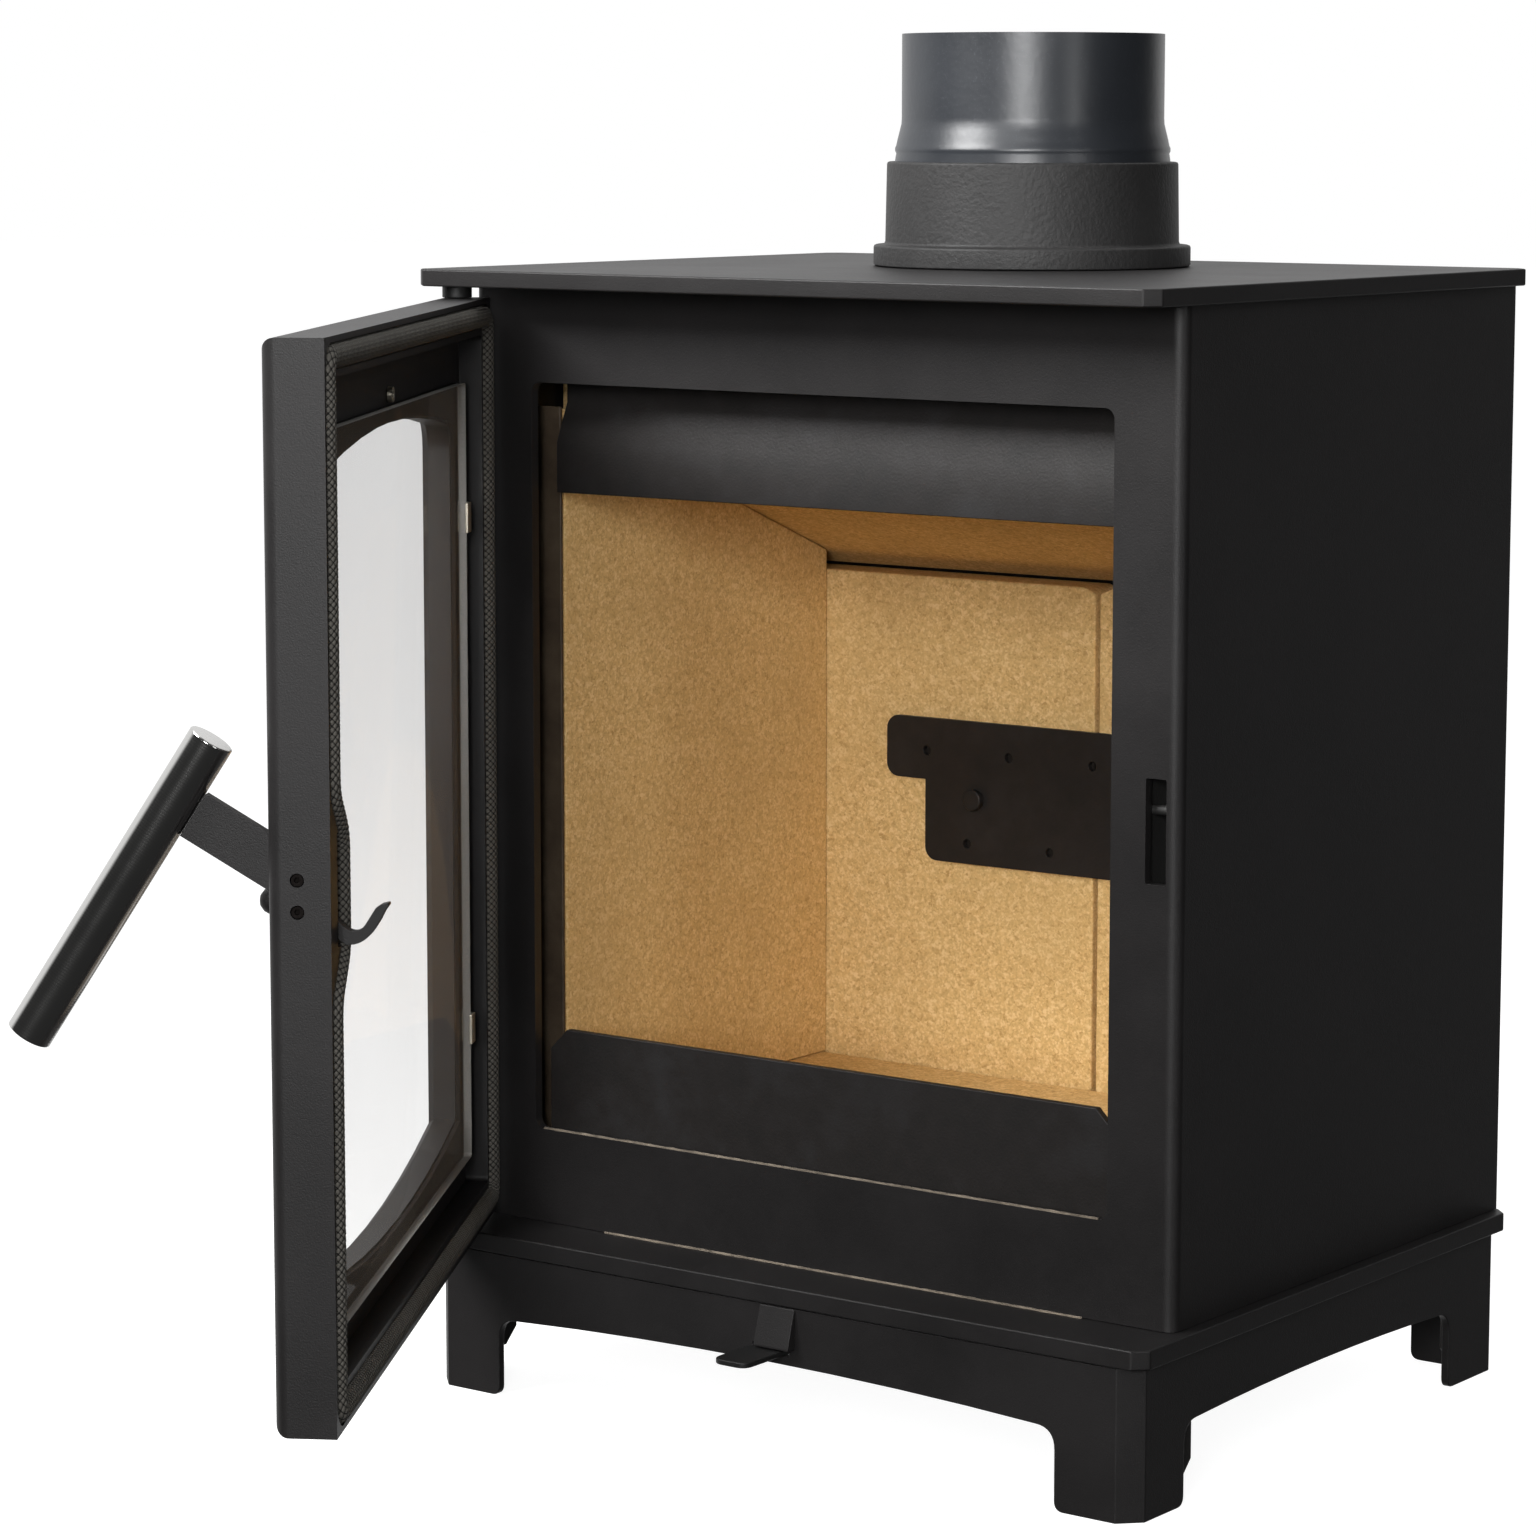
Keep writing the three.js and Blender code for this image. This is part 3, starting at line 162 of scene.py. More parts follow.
class ShaderSheet:
    """A material's node tree, filled by short calls."""

    def __init__(self, name: str) -> None:
        """Starts a material that has only its main shader."""
        self.material = bpy.data.materials.new(name)
        self.material.use_nodes = True
        self.tree = self.material.node_tree
        self.shader = self.tree.nodes["Principled BSDF"]

    def add(self, kind: str, settings: dict[str, Any], sockets: dict[Any, Value]) -> bpy.types.Node:
        """Adds a node.

        Args:
            kind: the node's type.
            settings: its properties; "stops" are a ramp's (position, colour) pairs.
            sockets: input names or numbers, with the value or wire each one gets.

        Returns:
            The new node.
        """
        node = self.tree.nodes.new(kind)
        for key, value in settings.items():
            if key == "stops":
                self._set_stops(node.color_ramp, value)
            else:
                setattr(node, key, value)
        for key, value in sockets.items():
            self._feed(node.inputs[key], value)
        return node

    @staticmethod
    def _set_stops(ramp: bpy.types.ColorRamp, stops: Sequence[tuple[float, Colour]]) -> None:
        """Gives a colour ramp its stops."""
        while len(ramp.elements) < len(stops):
            ramp.elements.new(0.5)
        for element, (position, colour) in zip(ramp.elements, stops):
            element.position = position
            element.color = (*colour, 1.0)

    def _feed(self, socket: bpy.types.NodeSocket, value: Value) -> None:
        """Links a wire to an input, or sets the input's own value."""
        if isinstance(value, Wire):
            self.tree.links.new(value.socket, socket)
        elif isinstance(value, (int, float)):
            socket.default_value = value
        else:
            wide = socket.type == "RGBA" and len(value) == 3
            socket.default_value = (*value, 1.0) if wide else tuple(value)

    def wire(self, node: bpy.types.Node, output: Union[int, str] = 0) -> Wire:
        """One output of a node."""
        return Wire(self, node.outputs[output])

    def place(self, stretch: Sequence[float] = (1.0, 1.0, 1.0)) -> Wire:
        """Object coordinates in metres, stretched if asked."""
        source = self.wire(self.add("ShaderNodeTexCoord", {}, {}), "Object")
        if tuple(stretch) == (1.0, 1.0, 1.0):
            return source
        return self.wire(self.add("ShaderNodeMapping", {}, {"Vector": source, "Scale": stretch}))

    def unwrap(self) -> tuple[Wire, Wire]:
        """The piece's own UV map, as two numbers."""
        source = self.wire(self.add("ShaderNodeTexCoord", {}, {}), "UV")
        parts = self.add("ShaderNodeSeparateXYZ", {}, {0: source})
        return self.wire(parts, 0), self.wire(parts, 1)

    def noise(self, where: Wire, scale: float, detail: float = 2.0, roughness: float = 0.5) -> Wire:
        """A smooth noise from 0 to 1."""
        sockets = {"Vector": where, "Scale": scale, "Detail": detail, "Roughness": roughness}
        return self.wire(self.add("ShaderNodeTexNoise", {}, sockets), 0)

    def flakes(self, where: Wire, scale: float) -> Wire:
        """One random number from 0 to 1 for each cell of a packed bed of flakes."""
        cells = self.add("ShaderNodeTexVoronoi", {}, {"Vector": where, "Scale": scale})
        parts = self.add("ShaderNodeSeparateColor", {}, {0: self.wire(cells, "Color")})
        return self.wire(parts, 0)

    def blend(self, mask: Value, first: Value, second: Value) -> Wire:
        """Goes from the first colour to the second as the mask goes from 0 to 1."""
        node = self.add("ShaderNodeMix", {"data_type": "RGBA"}, {0: mask, 6: first, 7: second})
        return self.wire(node, 2)

    def ramp(self, mask: Wire, stops: Sequence[tuple[float, Colour]]) -> Wire:
        """A colour picked along several stops."""
        return self.wire(self.add("ShaderNodeValToRGB", {"stops": stops}, {0: mask}), 0)

    def relief(self, height: Wire, depth: float, strength: float = 1.0) -> Wire:
        """A bump of that depth in metres."""
        sockets = {"Height": height, "Distance": depth, "Strength": strength}
        return self.wire(self.add("ShaderNodeBump", {}, sockets))

    def finish(self, **sockets: Value) -> bpy.types.Material:
        """Feeds the main shader; a socket's spaces are written as underscores."""
        for key, value in sockets.items():
            self._feed(self.shader.inputs[key.replace("_", " ")], value)
        return self.material


def shade(colour: Colour, share: float) -> Colour:
    """A colour made lighter or darker."""
    return (colour[0] * share, colour[1] * share, colour[2] * share)


# ---------------------------------------------------------------- finishes


@dataclass(frozen=True)
class SprayedPaint:
    """Heat resistant paint: matt, with a fine grain and soft mottling."""

    name: str
    colour: Colour
    roughness: float = 0.5
    specular: float = 0.35
    grain: float = 1500.0
    depth: float = 0.12 * MM
    mottle: float = 0.22

    def material(self) -> bpy.types.Material:
        """Builds the material."""
        sheet = ShaderSheet(self.name)
        where = sheet.place()
        grain = sheet.noise(where, self.grain, 2.0, 0.6)
        cloud = sheet.noise(where, 14.0, 4.0, 0.6)
        dust = sheet.noise(where, 260.0, 3.0, 0.7)
        tone = sheet.blend(
            (cloud * 0.75 + dust * 0.25).step(0.3, 0.7),
            shade(self.colour, 1 - self.mottle),
            shade(self.colour, 1 + self.mottle),
        )
        return sheet.finish(
            Base_Color=tone,
            Roughness=self.roughness + (cloud - 0.5) * 0.14 + (grain - 0.5) * 0.1,
            Normal=sheet.relief(grain * 0.8 + dust * 0.2, self.depth),
            Specular_IOR_Level=self.specular,
        )


@dataclass(frozen=True)
class HeatedSteel:
    """Bare sheet steel darkened by the fire, under patchy soot."""

    name: str = "sooty_steel"
    # in this finish the darkest tone is soot alone
    soot_and_painted_shadow: Colour = (0.008, 0.0075, 0.0072)
    stain: Colour = (0.0125, 0.0108, 0.0102)
    bare: Colour = (0.019, 0.0182, 0.0185)

    def material(self) -> bpy.types.Material:
        """Builds the material."""
        sheet = ShaderSheet(self.name)
        where = sheet.place()
        cloud = sheet.noise(where, 24.0, 5.0, 0.65)
        patch = sheet.noise(where, 90.0, 4.0, 0.6)
        grain = sheet.noise(where, 900.0, 2.0)
        tone = sheet.ramp(
            cloud * 0.65 + patch * 0.35,
            [(0.32, self.soot_and_painted_shadow), (0.5, self.stain), (0.7, self.bare)],
        )
        return sheet.finish(
            Base_Color=tone,
            Roughness=0.62 - cloud * 0.18 + (grain - 0.5) * 0.1,
            Normal=sheet.relief(grain * 0.5 + patch * 0.5, 0.2 * MM),
            Specular_IOR_Level=0.3,
        )


@dataclass(frozen=True)
class VitreousEnamel:
    """Blue-black satin enamel on the flue pipe."""

    name: str = "enamel"
    colour: Colour = (0.02, 0.0225, 0.027)

    def material(self) -> bpy.types.Material:
        """Builds the material."""
        sheet = ShaderSheet(self.name)
        where = sheet.place()
        peel = sheet.noise(where, 260.0, 1.0)
        cloud = sheet.noise(where, 30.0, 3.0)
        speck = sheet.noise(where, 1200.0, 1.0).step(0.62, 0.75)
        tone = sheet.blend(cloud, shade(self.colour, 0.8), shade(self.colour, 1.25))
        return sheet.finish(
            Base_Color=sheet.blend(speck * 0.5, tone, shade(self.colour, 2.2)),
            Roughness=0.3 + cloud * 0.1 + speck * 0.1,
            Normal=sheet.relief(peel, 0.06 * MM),
            Specular_IOR_Level=0.6,
        )


@dataclass(frozen=True)
class PressedVermiculite:
    """Fire board pressed from golden flakes, darker in random clouds, with a painted shadow on the back
    bricks behind the air plate.
    """

    name: str = "vermiculite"
    dark: Colour = (0.47, 0.285, 0.105)
    body: Colour = (0.68, 0.455, 0.19)
    bright: Colour = (0.79, 0.58, 0.29)
    # near-black of the painted shadow behind the air plate
    soot_and_painted_shadow: Colour = (0.012, 0.009, 0.007)
    flake: float = 950.0
    plate_shoulder: float = 31.5 * MM
    plate_stem_half: float = 101 * MM
    plate_margin: float = 1.5 * MM

    def material(self) -> bpy.types.Material:
        """Builds the material."""
        sheet = ShaderSheet(self.name)
        where = sheet.place()
        small = sheet.flakes(where, self.flake)
        large = sheet.flakes(where, self.flake * 0.45)
        cloud = sheet.noise(where, 16.0, 4.0, 0.6)
        crumb = sheet.noise(where, 500.0, 3.0, 0.7)
        pick = small * 0.42 + large * 0.28 + crumb * 0.3
        tone = sheet.ramp(
            pick,
            [
                (0.16, self.dark),
                (0.34, shade(self.body, 0.88)),
                (0.55, self.body),
                (0.74, self.bright),
            ],
        )
        clean = sheet.blend(cloud.step(0.35, 0.75) * 0.3, tone, shade(self.body, 0.75))
        return sheet.finish(
            # painted shadow: near-black where the air plate covers the back bricks
            Base_Color=sheet.blend(self.painted_shadow_behind_air_plate(sheet, where), clean, self.soot_and_painted_shadow),
            Roughness=0.82 + small * 0.12,
            Normal=sheet.relief(pick, 0.35 * MM, 0.6),
            Specular_IOR_Level=0.2,
        )


    def painted_shadow_behind_air_plate(self, sheet: ShaderSheet, where: Wire) -> Wire:
        """The painted shadow's mask: 1 on the back bricks where the air plate covers them, and 0
        elsewhere.
        """
        low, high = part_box("secondary_air_plate")
        parts = sheet.add("ShaderNodeSeparateXYZ", {}, {0: where})
        x, y, z = (sheet.wire(parts, axis) for axis in range(3))
        across = (x - (low.x + high.x) / 2).absolute()
        stem = self.plate_stem_half - self.plate_margin
        arms = (high.x - low.x) / 2 - self.plate_margin
        shoulder = high.z - self.plate_shoulder
        inside = (0.0 - z).step(-high.z, self.plate_margin - high.z) * y.step(low.y, high.y)
        wide = (0.0 - across).step(-arms, MM - arms) * z.step(shoulder + MM, shoulder + 2 * MM)
        narrow = (0.0 - across).step(-stem, MM - stem) * z.step(low.z + MM, low.z + 2 * MM)
        return (wide + narrow) * inside


@dataclass(frozen=True)
class KnittedRope:
    """Glass fibre rope; the stitches follow the piece's own map, u along and v round."""

    name: str = "knitted_rope"
    yarn: Colour = (0.12, 0.113, 0.1)
    gap: Colour = (0.002, 0.0018, 0.0017)
    stitch: float = 3.0 * MM
    rows: int = 10

    def material(self) -> bpy.types.Material:
        """Builds the material."""
        sheet = ShaderSheet(self.name)
        along, around = sheet.unwrap()
        turn = along * (2 * math.pi / self.stitch)
        spin = around * (2 * math.pi * self.rows)
        left = ((turn + spin) * 0.5).sine().absolute()
        right = ((turn - spin) * 0.5).sine().absolute()
        knit = (left * right) ** 0.6
        fuzz = sheet.noise(sheet.place(), 1600.0, 3.0, 0.7)
        cloud = sheet.noise(sheet.place(), 35.0, 3.0)
        mask = (knit * 0.85 + fuzz * 0.3).step(0.18, 0.72)
        yarn = sheet.blend(cloud, shade(self.yarn, 0.75), shade(self.yarn, 1.3))
        return sheet.finish(
            Base_Color=sheet.blend(mask, self.gap, yarn),
            Roughness=0.85 + fuzz * 0.1,
            Normal=sheet.relief(knit * 0.85 + fuzz * 0.15, 0.8 * MM, 0.8),
            Specular_IOR_Level=0.25,
        )


@dataclass(frozen=True)
class CeramicGlass:
    """Clear ceramic glass with a warm trace of smoke, denser where it is seen edge on."""

    name: str = "ceramic_glass"
    smoke: Colour = (0.42, 0.35, 0.28)
    clear: float = 0.16
    grazing: float = 0.05

    def material(self) -> bpy.types.Material:
        """Builds the material."""
        sheet = ShaderSheet(self.name)
        haze = sheet.noise(sheet.place(), 9.0, 4.0, 0.6)
        facing = sheet.wire(sheet.add("ShaderNodeLayerWeight", {}, {"Blend": 0.3}), "Facing")
        sheet.material.surface_render_method = "BLENDED"
        return sheet.finish(
            Base_Color=sheet.blend(haze.step(0.35, 0.75), shade(self.smoke, 0.8), self.smoke),
            Roughness=0.03 + haze * 0.04,
            Alpha=self.clear + facing * self.grazing + haze * 0.04,
            Specular_IOR_Level=0.5,
        )


@dataclass(frozen=True)
class GroundEdge:
    """The ground edge of the glass, which catches the light."""

    name: str = "ground_glass_edge"
    colour: Colour = (0.34, 0.33, 0.31)

    def material(self) -> bpy.types.Material:
        """Builds the material."""
        sheet = ShaderSheet(self.name)
        grind = sheet.noise(sheet.place(), 1400.0, 2.0)
        return sheet.finish(
            Base_Color=sheet.blend(grind, shade(self.colour, 0.7), self.colour),
            Roughness=0.35 + grind * 0.2,
            Normal=sheet.relief(grind, 0.1 * MM),
        )


@dataclass(frozen=True)
class PolishedStainless:
    """Turned and polished stainless steel; the marks run round the bar on its own map."""

    name: str = "stainless"
    colour: Colour = (0.72, 0.715, 0.7)

    def material(self) -> bpy.types.Material:
        """Builds the material."""
        sheet = ShaderSheet(self.name)
        where = sheet.place()
        along, _ = sheet.unwrap()
        mark = sheet.noise(where, 700.0, 2.0)
        smear = sheet.noise(where, 30.0, 3.0, 0.6)
        lathe = (along * 5200.0 + mark * 2.0).sine() * 0.5 + 0.5
        return sheet.finish(
            Base_Color=sheet.blend(smear, shade(self.colour, 0.92), self.colour),
            Metallic=1.0,
            Roughness=0.09 + smear * 0.07 + lathe * 0.02,
            Normal=sheet.relief(lathe * 0.6 + mark * 0.4, 0.01 * MM),
        )


@dataclass(frozen=True)
class ZincPlate:
    """Yellowed zinc plate on clips, screws and pins."""

    name: str = "zinc_plate"
    colour: Colour = (0.55, 0.51, 0.42)

    def material(self) -> bpy.types.Material:
        """Builds the material."""
        sheet = ShaderSheet(self.name)
        where = sheet.place()
        cloud = sheet.noise(where, 160.0, 3.0)
        grain = sheet.noise(where, 2200.0, 1.0)
        return sheet.finish(
            Base_Color=sheet.blend(cloud, shade(self.colour, 0.7), self.colour),
            Metallic=0.85,
            Roughness=0.3 + cloud * 0.2,
            Normal=sheet.relief(grain, 0.04 * MM),
        )


@dataclass(frozen=True)
class KeeperWithPaintedGlint:
    """Dark keeper steel whose pin is made bright bare metal at its outer end, a painted glint."""

    glint_from: float
    name: str = "keeper_steel"
    dark: Colour = (0.012, 0.0115, 0.011)
    # bright metal of the painted glint on the pin's outer end
    bright: Colour = (0.6, 0.58, 0.54)

    def material(self) -> bpy.types.Material:
        """Builds the material."""
        sheet = ShaderSheet(self.name)
        where = sheet.place()
        across = sheet.wire(sheet.add("ShaderNodeSeparateXYZ", {}, {0: where}), 0)
        grain = sheet.noise(where, 1100.0, 2.0)
        # mask of the painted glint on the pin's outer end
        painted_glint = (across + (grain - 0.5) * 0.6 * MM).step(
            self.glint_from - 0.3 * MM, self.glint_from + 0.3 * MM
        )
        return sheet.finish(
            Base_Color=sheet.blend(painted_glint, self.dark, self.bright),
            Metallic=painted_glint * 0.9,
            Roughness=0.6 - painted_glint * 0.35 + grain * 0.05,
            Normal=sheet.relief(grain, 0.08 * MM),
        )


@dataclass(frozen=True)
class PaleCementAndSillHighlight:
    """Fire cement squeezed out of a joint; the same pale tone is also laid along the sill as a painted
    highlight.
    """

    name: str = "fire_cement_and_sill_highlight"
    colour: Colour = (0.2, 0.165, 0.125)

    def material(self) -> bpy.types.Material:
        """Builds the material."""
        sheet = ShaderSheet(self.name)
        where = sheet.place()
        grit = sheet.noise(where, 900.0, 3.0, 0.7)
        patch = sheet.noise(where, 120.0, 3.0)
        return sheet.finish(
            Base_Color=sheet.blend(patch.step(0.3, 0.7), shade(self.colour, 0.5), self.colour),
            Roughness=0.85 + grit * 0.1,
            Normal=sheet.relief(grit, 0.3 * MM),
        )


@dataclass(frozen=True)
class StudioFloor:
    """Plain pale floor with the faintest unevenness."""

    name: str = "studio_floor"
    colour: Colour = (0.34, 0.34, 0.338)
    glow: float = 0.93

    def material(self) -> bpy.types.Material:
        """Builds the material."""
        sheet = ShaderSheet(self.name)
        cloud = sheet.noise(sheet.place(), 1.5, 2.0)
        return sheet.finish(
            Base_Color=sheet.blend(cloud, shade(self.colour, 0.99), self.colour),
            Roughness=0.8 + cloud * 0.1,
            Specular_IOR_Level=0.0,
            Emission_Color=(1.0, 1.0, 1.0),
            Emission_Strength=self.glow,
        )


class FinishStore:
    """Every material, built once and handed out by slot."""

    def __init__(self) -> None:
        """Builds the materials."""
        self.paint = SprayedPaint("charcoal_paint", (0.0098, 0.0089, 0.009)).material()
        self.panel = SprayedPaint(
            "sooted_panel_paint", (0.012, 0.0095, 0.0088), roughness=0.7, specular=0.25
        ).material()
        # near-black tape finish, also put on the edge screws as painted shade in their holes
        self.gasket = SprayedPaint(
            "sooted_gasket_tape", (0.006, 0.0045, 0.004), roughness=0.9, specular=0.1, grain=900.0
        ).material()
        self.by_slot = {
            Slot.STOVE_PAINT: self.paint,
            Slot.BLACK_STEEL: HeatedSteel().material(),
            Slot.FIRE_BRICK: PressedVermiculite().material(),
            Slot.PLATED_STEEL: ZincPlate().material(),
            Slot.CAST_IRON: SprayedPaint(
                "cast_iron",
                (0.024, 0.0235, 0.0235),
                roughness=0.58,
                grain=420.0,
                depth=0.5 * MM,
            ).material(),
            Slot.ENAMEL: VitreousEnamel().material(),
            Slot.ROPE: KnittedRope().material(),
            Slot.STOVE_GLASS: CeramicGlass().material(),
            Slot.STAINLESS: PolishedStainless().material(),
        }
        self.black_paint = SprayedPaint(
            "black_fastener_finish", (0.008, 0.008, 0.008), roughness=0.45, grain=2500.0
        ).material()
        # brown-black of the shaded brick fronts, put on the brick retainers: painted shade
        self.shaded_brick_brown_steel = HeatedSteel(
            "shaded_brick_brown_steel", (0.03, 0.021, 0.014), (0.055, 0.039, 0.025), (0.085, 0.064, 0.043)
        ).material()
        self.ground_edge = GroundEdge().material()
        self.cement_and_sill_highlight = PaleCementAndSillHighlight().material()


# ---------------------------------------------------------------- frame and modelling tools


class Frame:
    """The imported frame: its nodes, slots and joints, and the poses that its swung parts rest in."""

    def __init__(self, loaded: dict[str, Any]) -> None:
        """Reads the joints and slots of the loaded frame."""
        self.nodes = loaded["nodes"]
        self.slots = {s["node"]: Slot(s["material_slot"]) for s in loaded["record"]["subparts"]}
        self.joints = {joint["name"]: joint for joint in loaded["joints"]}
        self.swing = self._turned("door_hinge")
        self.tilt = self._turned("handle_pivot") @ self.swing

    def point(self, joint: str) -> Vector:
        """Where a joint's axis passes."""
        return Vector(self.joints[joint]["pos_m"])

    def _turned(self, joint: str) -> Matrix:
        """The turn from a joint's upper limit, shut or latched, to how it rests."""
        found = self.joints[joint]
        angle = -math.radians(found["range_deg"][1])
        there = Matrix.Translation(self.point(joint))
        return there @ Matrix.Rotation(angle, 4, Vector(found["axis"])) @ there.inverted()

    def shut_box(self, node: str, pose: Optional[Matrix] = None) -> tuple[Vector, Vector]:
        """A swung node's box as it would be with the door shut.

        Args:
            node: the CAD node.
            pose: the node's pose at rest; the door's where none is given.

        Returns:
            The lowest and highest corners.
        """
        back = (pose or self.swing).inverted()
        points = [back @ vertex.co for vertex in self.nodes[node].data.vertices]
        low = Vector([min(p[i] for p in points) for i in range(3)])
        high = Vector([max(p[i] for p in points) for i in range(3)])
        return low, high


class Bench:
    """Modelling moves that the sub-assemblies share."""

    @staticmethod
    def take(made: bpy.types.Object) -> None:
        """Makes one object the only selected and the active one."""
        bpy.ops.object.select_all(action="DESELECT")
        made.select_set(True)
        bpy.context.view_layer.objects.active = made

    @staticmethod
    def edit(mode: str = "FACE") -> None:
        """Enters edit mode with everything selected."""
        bpy.ops.object.mode_set(mode="EDIT")
        bpy.ops.mesh.select_mode(type=mode)
        bpy.ops.mesh.select_all(action="SELECT")

    @staticmethod
    def leave() -> None:
        """Goes back to object mode."""
        bpy.ops.object.mode_set(mode="OBJECT")

    @classmethod
    def named(cls, name: str) -> bpy.types.Object:
        """Names the primitive that was just added and puts its place into its mesh."""
        made = bpy.context.object
        made.name = name
        made.data.name = name
        cls.take(made)
        bpy.ops.object.transform_apply(location=True, rotation=True, scale=True)
        return made

    @classmethod
    def copy_of(cls, source: bpy.types.Object, name: str) -> bpy.types.Object:
        """A merged copy of a mesh, with each flat side made one face."""
        made = bpy.data.objects.new(name, source.data.copy())
        made.data.name = name
        made.data.materials.clear()
        bpy.context.scene.collection.objects.link(made)
        cls.take(made)
        bpy.ops.mesh.customdata_custom_splitnormals_clear()
        cls.edit()
        bpy.ops.mesh.remove_doubles(threshold=0.002 * MM)
        bpy.ops.mesh.dissolve_limited(angle_limit=math.radians(0.6))
        cls.leave()
        return made

    @classmethod
    def soften(
        cls, made: bpy.types.Object, width: float, segments: int = 2, angle: float = 38.0
    ) -> None:
        """Rounds an object's sharp edges and shades it smoothly.

        Args:
            made: the object.
            width: how far the rounding reaches, in metres.
            segments: facets across each rounded edge.
            angle: edges sharper than this many degrees are rounded.
        """
        cls.take(made)
        bevel = made.modifiers.new("rounding", "BEVEL")
        bevel.width = width
        bevel.segments = segments
        bevel.limit_method = "ANGLE"
        bevel.angle_limit = math.radians(angle)
        bpy.ops.object.modifier_apply(modifier=bevel.name)
        cls.settle_shading(made)

    @classmethod
    def settle_shading(cls, made: bpy.types.Object) -> None:
        """Shades curved parts smoothly and keeps broad faces flat."""
        cls.take(made)
        bpy.ops.object.shade_smooth_by_angle(angle=math.radians(46))
        weighted = made.modifiers.new("flat_faces", "WEIGHTED_NORMAL")
        weighted.mode = "FACE_AREA"
        weighted.weight = 90
        weighted.keep_sharp = True
        bpy.ops.object.modifier_apply(modifier=weighted.name)

    @classmethod
    def lathe(
        cls, name: str, outline: Sequence[tuple[float, float]], centre: Vector, steps: int = 128
    ) -> bpy.types.Object:
        """Turns a closed outline about an upright axis.

        Args:
            name: the new object's name.
            outline: (radius, height) points, in order round the section.
            centre: the foot of the axis.
            steps: facets round the axis.

        Returns:
            The turned object.
        """
        bpy.ops.object.select_all(action="DESELECT")
        bpy.ops.mesh.primitive_plane_add(size=MM)
        cls.edit("VERT")
        bpy.ops.mesh.merge(type="CENTER")
        bpy.ops.transform.translate(value=(outline[0][0], 0, outline[0][1]))
        closed = [*outline, outline[0]]
        for (radius, height), (next_radius, next_height) in zip(closed, closed[1:]):
            move = (next_radius - radius, 0, next_height - height)
            bpy.ops.mesh.extrude_vertices_move(TRANSFORM_OT_translate={"value": move})
        bpy.ops.mesh.select_all(action="SELECT")
        bpy.ops.mesh.remove_doubles(threshold=0.001 * MM)
        bpy.ops.mesh.spin(steps=steps, angle=2 * math.pi, center=(0, 0, 0), axis=(0, 0, 1))
        bpy.ops.mesh.select_all(action="SELECT")
        bpy.ops.mesh.remove_doubles(threshold=0.001 * MM)
        bpy.ops.mesh.normals_make_consistent(inside=False)
        bpy.ops.transform.translate(value=tuple(centre))
        cls.leave()
        made = cls.named(name)
        cls.settle_shading(made)
        return made

    @classmethod
    def ruffle(cls, made: bpy.types.Object, size: float, amount: float) -> None:
        """Makes a surface uneven with a fixed cloud pattern, and applies it."""
        cls.take(made)
        pattern = bpy.data.textures.new(f"{made.name}_unevenness", "CLOUDS")
        pattern.noise_scale = size
        displace = made.modifiers.new("unevenness", "DISPLACE")
        displace.texture = pattern
        displace.texture_coords = "LOCAL"
        displace.strength = amount
        bpy.ops.object.modifier_apply(modifier=displace.name)
        bpy.ops.object.shade_smooth()

    @staticmethod
    def pick_faces(made: bpy.types.Object, wanted: Callable[[bpy.types.MeshPolygon], bool]) -> None:
        """Selects the faces that pass a test, and nothing else; call it in object mode."""
        for part in (made.data.vertices, made.data.edges, made.data.polygons):
            part.foreach_set("select", [False] * len(part))
        for polygon in made.data.polygons:
            polygon.select = wanted(polygon)


@dataclass
class SubAssembly:
    """What every group of pieces can do with its meshes."""

    frame: Frame
    finishes: FinishStore

    def deliver(
        self,
        made: bpy.types.Object,
        body: Body,
        slot: Slot,
        replaces: Iterable[str] = (),
        material: Optional[bpy.types.Material] = None,
    ) -> bpy.types.Object:
        """Dresses a finished piece and hands it to the frame.

        Args:
            made: the piece, at its place.
            body: what it moves with.
            slot: the material slot that it takes its finish from.
            replaces: the CAD nodes that it stands for.
            material: its finish, where it isn't the slot's own.

        Returns:
            The piece.
        """
        if not made.data.materials:
            made.data.materials.append(material or self.finishes.by_slot[slot])
        nodes = list(replaces)
        if nodes:
            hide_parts(*nodes)
        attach(made, body.value)
        log.info("%s: %d faces, rides on %s", made.name, len(made.data.polygons), body.value)
        return made

    def refine(
        self,
        node: str,
        body: Body,
        rounding: float,
        segments: int = 2,
        material: Optional[bpy.types.Material] = None,
    ) -> bpy.types.Object:
        """Replaces a CAD node with its own shape, its edges rounded, and delivers it."""
        made = Bench.copy_of(self.frame.nodes[node], f"{node}_finished")
        Bench.soften(made, rounding, segments)
        return self.deliver(made, body, self.frame.slots[node], [node], material)


# ---------------------------------------------------------------- the stove


@dataclass
class Plinth(SubAssembly):
    """Folded skirt with arched sides, the angles in its legs and the air control."""

    sheet_edge: float = 0.5 * MM
    lever_edge: float = 0.6 * MM

    def build(self) -> None:
        """Makes the plinth's pieces."""
        self.refine("plinth_skirt", Body.STOVE, self.sheet_edge)
        for row in ("front", "rear"):
            for side in ("left", "right"):
                self.refine(f"leg_bracket_{row}_{side}", Body.STOVE, self.sheet_edge)
        self.refine("air_lever_hood", Body.STOVE, self.sheet_edge)
        self.refine("air_lever", Body.AIR_CONTROL, self.lever_edge, 3, self.finishes.black_paint)


